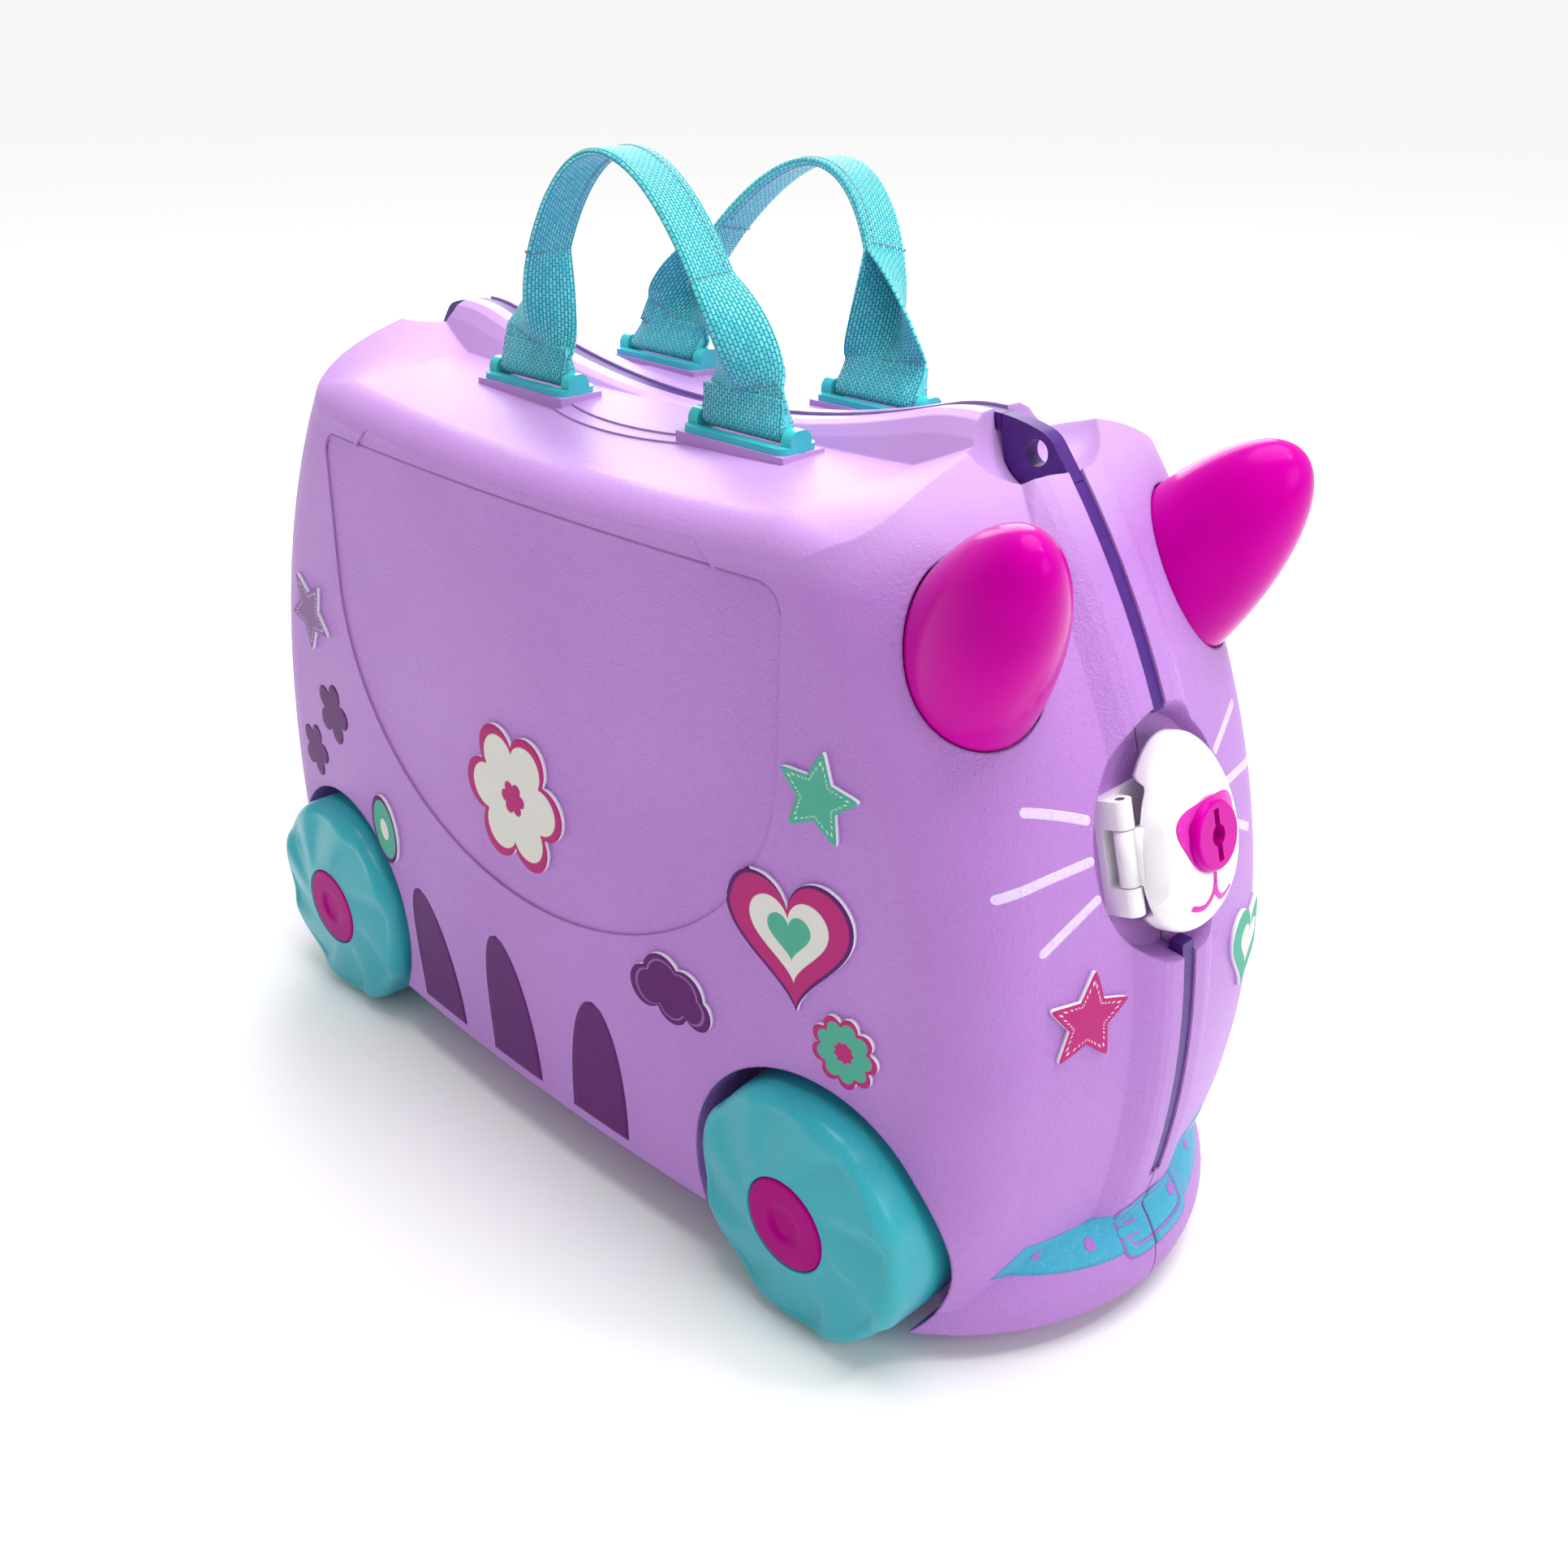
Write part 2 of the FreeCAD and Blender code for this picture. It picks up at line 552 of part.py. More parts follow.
def inner_form():
    """Hollow of the right half, less what stands into it: wheel tubs, axle bosses, cups and pads."""
    wall = size("wall")
    hollow = half_body("hollow", wall)
    tub = cross_cylinder("tub", "$wheel_radius + $arch_gap + $wall", "$wheel_x", "$wheel_radius",
                         f"$foot_half_width + {OVER}", TUB_BACK + " - $wall")
    boss = cross_cylinder("axle_boss", "$axle_boss_radius", "$wheel_x", "$wheel_radius",
                          "$foot_half_width", BOSS_END)
    scoop_pad = block("scoop_pad", ("$eyelet_tail_back - $scoop_pad", "-$scoop_breadth - $wall",
                                    "$scoop_z - $scoop_depth - $wall"),
                      ("$half_length", f"{OVER}", "$hump_z"))
    cup = horn_dome("horn_cup", size("horn_gap") + wall, wall)
    pads = [dish_pad("front_dish_pad", True), dish_pad("rear_dish_pad", False)]
    inside = fuse("solids_inside", *both_ends(tub), *both_ends(boss), *both_ends(scoop_pad), cup, *pads)
    return cut("cavity", hollow, inside)


def groove_form():
    """Groove of the seal and of the eyelets' tails, in the stretches where they show."""
    depth = size("seal_inset") + size("seal_depth") + size("seal_gap") + size("groove_over")
    band = seal_channels("groove", -size("groove_over"), depth, size("seal_half_width") + size("seal_gap"))
    top, upper, lower = seal_windows("groove_window", size("seal_gap"))
    tail = block("eyelet_window",
                 ("$eyelet_tail_back - $seal_gap", f"-$seal_half_width - {OVER}", "$clasp_z"),
                 ("$eyelet_tail_front + $seal_gap", f"$seal_half_width + {OVER}", f"$hump_z + {OVER}"))
    windows = fuse("windows", top, *both_ends(upper), *both_ends(lower), *both_ends(tail))
    return common("grooves", band, windows)


def recess_form():
    """What is taken out of the outside: wheel arches, axle bores, horn socket, scoops, dishes and holes."""
    arch = cross_cylinder("arch", "$wheel_radius + $arch_gap", "$wheel_x", "$wheel_radius",
                          f"$foot_half_width + {OVER}", TUB_BACK)
    bore = cross_cylinder("axle_bore", "$axle_radius + $axle_fit", "$wheel_x", "$wheel_radius",
                          "$foot_half_width", f"{BOSS_END} - {OVER}")
    socket = horn_dome("horn_socket", size("horn_gap"), 0.0)
    screw_hole = add("Part::Cylinder", "horn_screw_hole",
                     {"Radius": "$horn_screw_radius + 2 * $screw_fit", "Height": f"$wall + {OVER}"})
    screw_hole.Placement = horn_placement(size("wall") + OVER / 2)
    scoop = add("Part::Ellipsoid", "scoop",
                {"Radius1": "$scoop_depth", "Radius2": "$scoop_length", "Radius3": "$scoop_breadth",
                 "Placement.Base.x": "$scoop_x", "Placement.Base.z": "$scoop_z"}, Angle1=-90, Angle2=90)
    ring_room = cross_cylinder("eyelet_room", "$eyelet_rim + $eyelet_room", "$eyelet_x", "$eyelet_rim_z",
                               "$seal_half_width + $eyelet_room", "-$seal_half_width - $eyelet_room")
    dishes = [dish("front_dish", True), dish("rear_dish", False)]
    post_holes = [add("Part::Cylinder", "post_hole_%d" % index,
                      {"Radius": "$post_radius + $post_gap", "Height": f"$post_length + 2 * {OVER}",
                       "Placement.Base.x": "%s$handle_x %s ($anchor_length - $anchor_lug) / 2" % pair,
                       "Placement.Base.y": "-$handle_y",
                       "Placement.Base.z": f"$seat_z - $post_length - {OVER}"})
                  for index, pair in enumerate((("", "-"), ("", "+"), ("-", "-"), ("-", "+")))]
    return fuse("recesses", *both_ends(arch), *both_ends(bore), socket, screw_hole, *both_ends(scoop),
                *both_ends(ring_room), *dishes, *post_holes)


def build_shells():
    """Both shells: hollow bodies with arches, sockets, recesses and the knuckles of the case hinge."""
    seam = block("seam_cut", (f"-$half_length - $ridge_proud - {OVER}", "-$seam_gap", f"-{OVER}"),
                 (f"$half_length + $ridge_proud + {OVER}", f"$seal_half_width + 2 * {OVER}",
                  f"$hump_z + {OVER}"))
    half = cut("half_shell", outer_form(), groove_form(), inner_form(), recess_form(), panel_tool("panel"),
               seam)
    right_knuckles, left_knuckles = hinge_knuckles()
    right = cut("right_shell", fuse("right_half", half, right_knuckles),
                peg_holes("front_base_holes", True, 1), peg_holes("rear_keeper_holes", False, -1))
    left = cut("left_shell", fuse("left_half", mirror("left_half_plain", half, V(0, 1, 0)), left_knuckles),
               peg_holes("rear_base_holes", False, 1), peg_holes("front_keeper_holes", True, -1))
    return {"right_shell": right, "left_shell": left}


def hinge_knuckles():
    """Barrels along the bottom seam, shared out in turn between the halves, each with its web."""
    count = int(size("hinge_knuckles"))
    pitch = 2 * size("hinge_half_length") / count
    gap = size("hinge_gap")
    barrel = size("hinge_barrel")
    low = size("hinge_z")
    groups = ([], [])
    for index in range(count):
        start = -size("hinge_half_length") + pitch * index + gap / 2
        length = pitch - gap
        side = -1 if index % 2 == 0 else 1
        bore = size("hinge_pin") + (size("hinge_fit") if side < 0 else size("hinge_play"))
        tube = Part.makeCylinder(barrel, length, V(start, 0, low), V(1, 0, 0))
        near = size("seam_gap")
        corner = V(start, -barrel if side < 0 else near, low)
        web = Part.makeBox(length, barrel - near, size("floor_z") + size("wall") / 2 - low, corner)
        hole = Part.makeCylinder(bore, length + 2 * OVER, V(start - OVER, 0, low), V(1, 0, 0))
        groups[index % 2].append(tube.fuse(web).cut(hole))
    return [solid("%s_knuckles" % name, Part.makeCompound(group))
            for name, group in zip(("right", "left"), groups)]


def build_hinge_pin():
    pin = add("Part::Cylinder", "hinge_pin",
              {"Radius": "$hinge_pin", "Height": "2 * $hinge_half_length",
               "Placement.Base.x": "-$hinge_half_length", "Placement.Base.z": "$hinge_z"},
              Placement=Placement(V(), Rotation(V(0, 1, 0), 90)))
    return {"hinge_pin": pin}


def origin_plane(body, role):
    return next(plane for plane in body.Origin.OriginFeatures if plane.Role == role)


def new_sketch(body, name, role):
    """Sketch on one of the body's own origin planes."""
    sketch = body.newObject("Sketcher::SketchObject", name)
    sketch.AttachmentSupport = [(origin_plane(body, role), "")]
    sketch.MapMode = "FlatFace"
    return sketch


def draw_profile(sketch, points):
    """Closed profile through points whose coordinates are formulas of the sheet: pairs of x and y."""
    guesses = [(evaluate(x), evaluate(y)) for x, y in points]
    count = len(points)
    for index, guess in enumerate(guesses):
        end = guesses[(index + 1) % count]
        sketch.addGeometry(Part.LineSegment(V(guess[0], guess[1], 0), V(end[0], end[1], 0)), False)
    for index in range(count):
        sketch.addConstraint(Sketcher.Constraint("Coincident", index, 2, (index + 1) % count, 1))
    for index, (x, y) in enumerate(points):
        for kind, formula, guess in zip(("DistanceX", "DistanceY"), (x, y), guesses[index]):
            number = sketch.addConstraint(Sketcher.Constraint(kind, -1, 1, index, 1, guess))
            sketch.setExpression("Constraints[%d]" % number, formula.replace("$", "sizes."))


def evaluate(formula):
    """Number that a formula of the sheet gives now."""
    return float(sheet.evalExpression(formula.replace("$", "")))


def revolve_body(name, points):
    """Body turned about its Z axis from a profile of radius and height formulas."""
    body = doc.addObject("PartDesign::Body", name)
    sketch = new_sketch(body, name + "_profile", "XZ_Plane")
    draw_profile(sketch, points)
    turn = body.newObject("PartDesign::Revolution", name + "_turned")
    turn.Profile = sketch
    turn.ReferenceAxis = (sketch, ["V_Axis"])
    turn.Angle = 360
    body.Tip = turn
    sketch.Visibility = False
    return body


def wheel_places():
    """Name and frame of each wheel: Z along the axle outwards, origin in the seam plane."""
    places = {}
    for side, sign in (("right", -1), ("left", 1)):
        for end, way in (("front", 1), ("rear", -1)):
            turn = Rotation(V(1, 0, 0), -90 * sign)
            base = V(way * size("wheel_x"), 0, size("wheel_radius"))
            places["%s_%s" % (end, side)] = Placement(base, turn)
    return places


WHEEL_INNER = "$wheel_face - $wheel_width"
CLIP_LOW = "$wheel_face - $hub_recess_depth + $running_gap"
CLIP_HIGH = CLIP_LOW + " + $clip_thickness"


def wheel(name, place):
    """Moulded wheel: fluted outer face, round rim, cored back and a bored boss."""
    face = "$wheel_face"
    bore = "$axle_radius + $axle_play"
    core = "$wheel_radius - $wheel_web"
    depth = WHEEL_INNER + " + $wheel_core_depth"
    recess = "$cap_radius + $cap_gap"
    floor = face + " - $hub_recess_depth"
    rim = "$wheel_radius - $wheel_rim_round"
    profile = ((bore, WHEEL_INNER), ("$wheel_boss_radius", WHEEL_INNER), ("$wheel_boss_radius", depth),
               (core, depth), (core, WHEEL_INNER), ("$wheel_radius", WHEEL_INNER),
               ("$wheel_radius", face + " - $wheel_face_fall - $wheel_rim_round"),
               (rim + " + $wheel_rim_round * cos(45 deg)",
                face + " - $wheel_face_fall - $wheel_rim_round * (1 - cos(45 deg))"),
               (rim, face + " - $wheel_face_fall"), (recess, face), (recess, floor), (bore, floor))
    body = revolve_body(name + "_blank", profile)
    doc.recompute()
    count = int(size("petal_count"))
    reach = size("petal_reach")
    land = size("petal_land")
    flutes = []
    for index in range(count):
        slab = Part.makeBox(size("wheel_radius"), reach + land, 2 * OVER,
                            V(size("cap_radius") + land, -land, 0))
        slab.rotate(V(), V(1, 0, 0), -size("petal_tilt"))
        slab.translate(V(0, 0, size("wheel_face") - size("wheel_face_fall") / 2))
        slab.rotate(V(), V(0, 0, 1), 360.0 * index / count)
        flutes.append(slab)
    tool = solid(name + "_flutes", Part.makeCompound(flutes))
    piece = cut(name, body, tool)
    piece.Placement = place
    return piece


def build_wheels():
    """Each wheel with the stub axle, spring clip and hub cap that hold it."""
    pieces = {}
    tip = CLIP_HIGH + " + $axle_tip"
    bore = "$axle_radius + $axle_fit"
    top = "$wheel_face"
    for key, place in wheel_places().items():
        pieces[key + "_wheel"] = wheel(key + "_wheel", place)
        axle = revolve_body(key + "_axle", (
            ("0", BOSS_END), ("$axle_radius", BOSS_END), ("$axle_radius", TUB_BACK),
            ("$axle_flange_radius", TUB_BACK), ("$axle_flange_radius", TUB_BACK + " + $axle_flange"),
            ("$axle_radius", TUB_BACK + " + $axle_flange"), ("$axle_radius", tip), ("0", tip)))
        clip = revolve_body(key + "_axle_clip", (
            (bore, CLIP_LOW), ("$clip_radius", CLIP_LOW), ("$clip_radius", CLIP_HIGH), (bore, CLIP_HIGH)))
        cap = revolve_body(key + "_hub_cap", (
            ("0", top + " - $cap_thickness"), ("$cap_radius", top + " - $cap_thickness"),
            ("$cap_radius", top + " - $cap_bevel"), ("$cap_radius - $cap_bevel", top),
            ("$dimple_radius + $dimple_depth", top), ("$dimple_radius", top + " - $dimple_depth"),
            ("0", top + " - $dimple_depth")))
        for piece in (axle, clip, cap):
            piece.Placement = place
            pieces[piece.Name] = piece
    return pieces


def build_horns():
    """Horn grips, each on a screw through the floor of its socket."""
    pieces = {}
    dome = horn_dome("horn_dome", 0.0, 0.0)
    pilot = add("Part::Cylinder", "horn_pilot",
                {"Radius": "$horn_screw_radius + $screw_fit", "Height": f"$horn_screw_grip + {OVER}"})
    pilot.Placement = horn_placement(OVER)
    horn = cut("right_horn", dome, pilot)
    shank = add("Part::Cylinder", "horn_screw_shank",
                {"Radius": "$horn_screw_radius", "Height": "$wall + $horn_screw_grip - $horn_screw_room"})
    shank.Placement = horn_placement(size("wall"))
    head = add("Part::Cylinder", "horn_screw_head",
               {"Radius": "$horn_screw_head", "Height": "$horn_screw_head_height"})
    head.Placement = horn_placement(size("wall") + size("horn_screw_head_height"))
    screw = fuse("right_horn_screw", shank, head)
    for piece in (horn, screw):
        pieces[piece.Name] = piece
        name = piece.Name.replace("right", "left")
        pieces[name] = mirror(name, piece, V(0, 1, 0))
    return pieces


def build_seals():
    """Dark seal in its stretches along the ridge, and the tow eyelets that close the humps."""
    band = seal_channels("seal_band", size("seal_inset"), size("seal_depth"), size("seal_half_width"))
    top, upper, lower = seal_windows("seal_window", 0.0)
    pieces = {"seat_seal": common("seat_seal", band, top)}
    rear = V(1, 0, 0)
    for name, window in (("upper_seal", upper), ("lower_seal", lower)):
        front = common("front_" + name, band, window)
        pieces["front_" + name] = front
        pieces["rear_" + name] = mirror("rear_" + name, front, rear)
    gap = "$seal_gap"
    window = block("eyelet_trim", ("$eyelet_tail_back + " + gap, f"-$seal_half_width - {OVER}", "$clasp_z"),
                   ("$eyelet_tail_front - " + gap, f"$seal_half_width + {OVER}", f"$hump_z + {OVER}"))
    tail = common("eyelet_tail", band, window)

    disc = cross_cylinder("eyelet_disc", "$eyelet_rim", "$eyelet_x", "$eyelet_rim_z", "$seal_half_width",
                          "-$seal_half_width")
    hole = cross_cylinder("eyelet_hole", "$eyelet_hole", "$eyelet_x", "$eyelet_z",
                          f"$seal_half_width + {OVER}", f"-$seal_half_width - {OVER}")
    web = common("eyelet_web", disc, ridge_prism("eyelet_limit", size("seal_inset"), size("seal_half_width")))
    front = cut("front_tow_eyelet", fuse("eyelet_blank", tail, web), hole)
    pieces["front_tow_eyelet"] = front
    pieces["rear_tow_eyelet"] = mirror("rear_tow_eyelet", front, rear)
    return pieces


def anchor_solid():
    """Strap anchor at the origin: slotted plate, two lugs with the bar between, and two push-in posts."""
    length = size("anchor_length")
    width = size("anchor_width")
    lug = size("anchor_lug")
    height = size("bar_height") + size("bar_radius")
    slot = 2 * (size("loop_radius") + size("loop_gap"))
    inner = length - 2 * lug
    plate = Part.makeBox(length, width, size("anchor_plate"), V(-length / 2, -width / 2, 0))
    corners = [edge for edge in plate.Edges if edge.BoundBox.ZLength > size("anchor_plate") / 2]
    plate = plate.makeFillet(size("anchor_corner"), corners)
    plate = plate.cut(Part.makeBox(inner, slot, 2 * OVER, V(-inner / 2, -slot / 2, -OVER)))
    pieces = [Part.makeCylinder(size("bar_radius"), inner + lug, V(-(inner + lug) / 2, 0, size("bar_height")),
                                V(1, 0, 0))]
    for sign in (-1, 1):
        ear = Part.makeBox(lug, slot, height, V(sign * (length - lug) / 2 - lug / 2, -slot / 2, 0))
        top = [edge for edge in ear.Edges
               if edge.BoundBox.XLength > lug / 2 and edge.BoundBox.ZMin > height - NEAR]
        pieces.append(ear.makeFillet(size("lug_round"), top))
        center = sign * (length - lug) / 2
        pieces.append(Part.makeCylinder(size("post_radius"), size("post_length"),
                                        V(center, 0, -size("post_length"))))
        pieces.append(Part.makeCone(size("post_radius"), size("post_foot_radius"), size("post_foot"),
                                    V(center, 0, -size("post_length") - size("post_foot"))))
    return plate.multiFuse(pieces)


def build_anchors():
    pieces = {}
    for side, sign in (("right", -1), ("left", 1)):
        for end, way in (("front", 1), ("rear", -1)):
            name = "%s_%s_anchor" % (side, end)
            place = Placement(V(way * size("handle_x"), sign * size("handle_y"), size("seat_z")), Rotation())
            pieces[name] = solid(name, anchor_solid(), place)
    return pieces


def strap_section(point, across, along_y, width, thickness):
    """Rectangle of the strap at one point of its path."""
    half_w = across * (width / 2)
    half_t = along_y * (thickness / 2)
    corners = [point + half_w + half_t, point - half_w + half_t, point - half_w - half_t,
               point + half_w - half_t]
    return Part.makePolygon(corners + corners[:1])


FOLDS = ((0, 0.0), (8, 0.12), (18, 0.55), (28, 1.0), (45, 1.0), (66, 1.0), (90, 1.0))


def strap_handle(side, sign):
    """Webbing loop: wide flat ends sewn round the bars, folded lengthwise into a narrow grip between."""
    foot = size("seat_z") + size("bar_height")
    reach = size("handle_x")
    rise = size(side + "_rise")
    lean = sign * size(side + "_lean")
    skew = size("handle_skew")
    sections = []
    for angle, fold in FOLDS + tuple((180 - angle, fold) for angle, fold in FOLDS[-2::-1]):
        turn = math.radians(angle)
        up = math.sin(turn)
        point = V(reach * math.cos(turn) + skew * up, sign * size("handle_y") + lean * up, foot + rise * up)
        heading = V(skew * math.cos(turn) - reach * up, lean * math.cos(turn), rise * math.cos(turn))
        across = V(0, 1, 0).cross(heading).normalize()
        level = heading.cross(across).normalize()
        width = between(size("strap_width"), size("grip_thickness"), fold)
        thick = between(size("strap_thickness"), size("grip_width"), fold)
        sections.append(strap_section(point, across, level, width, thick))
    strap = Part.makeLoft(sections, True, False)
    width = size("strap_width")
    for way in (-1, 1):
        start = V(way * reach - width / 2, sign * size("handle_y"), foot)
        strap = strap.cut(Part.makeBox(width, 2 * width, width, start - V(0, width, width)))
        strap = strap.fuse(Part.makeCylinder(size("loop_radius"), width, start, V(1, 0, 0)))
        strap = strap.cut(Part.makeCylinder(size("bar_radius") + size("loop_gap"), width + 2 * OVER,
                                            start - V(OVER, 0, 0), V(1, 0, 0)))
    return strap


def build_handles():
    return {side + "_handle": solid(side + "_handle", strap_handle(side, sign))
            for side, sign in (("right", -1), ("left", 1))}


def egg_face(inset, z):
    """Outline of a clasp cover: round foot, narrower round top and long side arcs between."""
    bottom = size("cover_bottom_radius") - inset
    top = size("cover_top_radius") - inset
    side = size("cover_side_radius") - inset
    reach = size("cover_half_height") - inset
    low = (0.0, -reach + bottom)
    high = (0.0, reach - top)
    side_center = min(circle_meet(low, side - bottom, high, side - top))
    tangent_low = on_circle(side_center, side, low)
    tangent_high = on_circle(side_center, side, high)
    shift = size("cover_shift")

    def right(point):
        return V(shift + point[0], point[1], z)

    def left(point):
        return V(shift - point[0], point[1], z)

    edges = [arc_through(side_center, side, tangent_low, tangent_high, right),
             Part.Arc(right(tangent_high), V(shift, reach, z), left(tangent_high)).toShape(),
             arc_through(side_center, side, tangent_high, tangent_low, left),
             Part.Arc(left(tangent_low), V(shift, -reach, z), right(tangent_low)).toShape()]
    return Part.Face(Part.Wire(edges))


def dome(inset, low, high, rounding):
    """Pillow form over the cover's outline, with its upper edge rounded."""
    form = egg_face(inset, low).extrude(V(0, 0, high - low))
    rim = [edge for edge in form.Edges if edge.BoundBox.ZMin > high - NEAR]
    return form.makeFillet(rounding, rim)


def pin_cylinder(radius, low, high):
    """Cylinder about the clasp's hinge axis between two heights."""
    return Part.makeCylinder(radius, high - low, V(size("pin_x"), low, size("pin_z")), V(0, 1, 0))


def tab_cylinder(radius, low, high):
    return Part.makeCylinder(radius, high - low, V(size("tab_center_x"), 0, low))


def clasp_cover(with_lock):
    """Domed cover with its knuckle, a bay for the finger tab and, at the front, the lock's hole."""
    rim = size("cover_rim_z")
    top = size("cover_top_z")
    wall = size("cover_wall")
    form = dome(0.0, rim, top, size("cover_round"))
    form = form.cut(dome(wall, rim - OVER, top - wall, size("cover_round") - wall))
    shelf = dome(0.0, rim, top, size("cover_round")).common(
        tab_cylinder(size("tab_radius") + wall, size("tab_floor_z") - wall, top))
    form = form.fuse(shelf).cut(tab_cylinder(size("tab_radius"), size("tab_floor_z"), top + OVER))
    half = size("knuckle_half")
    knuckle = pin_cylinder(size("knuckle_radius"), -half, half)
    web = Part.makeBox(size("knuckle_radius") + size("knuckle_web"), 2 * half,
                       size("tab_floor_z") - size("pin_z"), V(size("pin_x"), -half, size("pin_z")))
    room = size("lug_gap")
    clear = size("knuckle_radius") + 2 * room
    outer = size("pin_x") - clear - OVER
    tall = size("pin_z") + clear - rim + OVER
    for sign in (-1, 1):
        start = half if sign > 0 else -half - size("lug_length") - 2 * room
        span = size("lug_length") + 2 * room
        slot = Part.makeBox(2 * clear + OVER + size("lug_inset"), span, tall, V(outer, start, rim - OVER))
        form = form.cut(slot).cut(pin_cylinder(clear, start, start + span))
    middle = Part.makeBox(clear + OVER, 2 * half + 2 * room, tall, V(outer, -half - room, rim - OVER))
    form = form.cut(middle).fuse(knuckle).fuse(web)
    form = form.cut(pin_cylinder(size("pin_radius") + size("pin_play"), -half - OVER, half + OVER))
    if with_lock:
        middle_x = size("cover_shift")
        seat = top - size("lock_seat")
        bore = size("lock_shaft_radius") + size("lock_play")
        form = form.cut(Part.makeCylinder(bore, top, V(middle_x, 0, 0)))
        seat_radius = size("lock_radius") + size("lock_room")
        form = form.cut(Part.makeCylinder(seat_radius, 2 * size("lock_seat"), V(middle_x, 0, seat)))
    return form


def clasp_tab():
    """Crescent finger tab that fills the bay at the cover's hinge side."""
    gap = size("tab_gap")
    top = size("cover_top_z") + size("tab_proud")
    form = dome(gap, size("cover_rim_z"), top, size("cover_round"))
    return form.common(tab_cylinder(size("tab_radius") - gap, size("tab_floor_z"), top))


def clasp_base():
    """Base plate with two lugs for the pin and two pegs into the shell."""
    floor = -size("dish_floor")
    half = size("knuckle_half") + size("lug_gap")
    tall = half + size("lug_length")
    radius = size("knuckle_radius")
    low_x = size("pin_x") - radius
    plate = Part.makeBox(size("base_front") - low_x, 2 * tall, size("base_plate"), V(low_x, -tall, floor))
    pieces = []
    for sign in (-1, 1):
        start = half if sign > 0 else -tall
        lug = pin_cylinder(radius, start, start + size("lug_length"))
        foot = Part.makeBox(2 * radius, size("lug_length"), size("pin_z") - floor, V(low_x, start, floor))
        pieces += [lug, foot]
        pieces.append(Part.makeCylinder(size("peg_radius"), size("peg_length") + size("base_plate") / 2,
                                        V(size("peg_x"), sign * size("peg_y"), floor - size("peg_length"))))
    form = plate.multiFuse(pieces)
    return form.cut(pin_cylinder(size("pin_radius") + size("pin_fit"), -tall - OVER, tall + OVER))


def clasp_keeper():
    """Catch block of the opposite half, with a lip towards the hinge side and two pegs."""
    floor = -size("dish_floor")
    half = size("keeper_half_height")
    form = Part.makeBox(size("keeper_length"), 2 * half, size("keeper_height"),
                        V(size("keeper_x"), -half, floor))
    groove = Part.makeBox(size("keeper_length"), 2 * half, size("keeper_lip"),
                          V(size("keeper_x") + size("keeper_length") / 2, -half, floor + size("keeper_lip")))
    reach = size("peg_y") + size("peg_margin")
    start = size("keeper_shift") - size("peg_x") - size("keeper_length") / 2
    plate = Part.makeBox(size("keeper_length"), 2 * reach, size("base_plate"), V(start, -reach, floor))
    pegs = [Part.makeCylinder(size("peg_radius"), size("peg_length") + size("base_plate") / 2,
                              V(-size("peg_x"), sign * size("peg_y"), floor - size("peg_length")))
            for sign in (-1, 1)]
    return form.cut(groove).multiFuse([plate] + pegs)


def clasp_lock():
    """Round lock with a keyhole in its face, a shaft through the cover and a cam behind it."""
    top = size("cover_top_z")
    seat = top - size("lock_seat")
    radius = size("lock_radius")
    face = seat + size("lock_seat") + size("lock_proud")
    middle = size("cover_shift")
    disc = Part.makeCylinder(radius, face - seat, V(middle, 0, seat))
    rim = [edge for edge in disc.Edges if edge.BoundBox.ZMin > face - NEAR]
    disc = disc.makeFillet(size("lock_proud") / 2, rim)
    cam_top = top - size("cover_wall") - size("lock_seat") - size("lug_gap")
    cam_low = cam_top - size("lock_cam")
    shaft = Part.makeCylinder(size("lock_shaft_radius"), seat - cam_low, V(middle, 0, cam_low))
    cam = Part.makeBox(size("lock_cam_width"), size("lock_cam_length"), size("lock_cam"),
                       V(middle - size("lock_cam_width") / 2, 0, cam_low))
    form = disc.multiFuse([shaft, cam])
    deep = face - size("keyhole_depth")
    key = Part.makeCylinder(size("keyhole_radius"), 2 * OVER, V(middle, 0, deep))
    slot = Part.makeBox(size("keyhole_slot"), 2 * size("keyhole_reach"), 2 * OVER,
                        V(middle - size("keyhole_slot") / 2, -size("keyhole_reach"), deep))
    return form.cut(key.fuse(slot))


def build_clasps():
    """The same clasp at both ends, turned round at the rear; only the front one has a lock."""
    pieces = {}
    half = size("knuckle_half") + size("lug_gap") + size("lug_length")
    for end, front in (("front", True), ("rear", False)):
        shapes = {"clasp_base": clasp_base(), "clasp_pin": pin_cylinder(size("pin_radius"), -half, half),
                  "clasp_cover": clasp_cover(front), "clasp_tab": clasp_tab(),
                  "clasp_keeper": clasp_keeper()}
        if front:
            shapes["clasp_lock"] = clasp_lock()
        for part, shape in shapes.items():
            name = "%s_%s" % (end, part)
            pieces[name] = solid(name, shape, clasp_frame(front))
    return pieces


def check_document(pieces):
    """Stop if an object failed or a piece has no sound solid."""
    for obj in doc.Objects:
        if "Invalid" in obj.State or "Error" in obj.State:
            raise RuntimeError("failed object: %s %s" % (obj.Name, obj.State))
    for name, obj in pieces.items():
        shape = obj.Shape
        if shape.isNull() or not shape.isValid() or not shape.Solids or shape.Volume <= 0:
            raise RuntimeError("no sound solid: " + name)


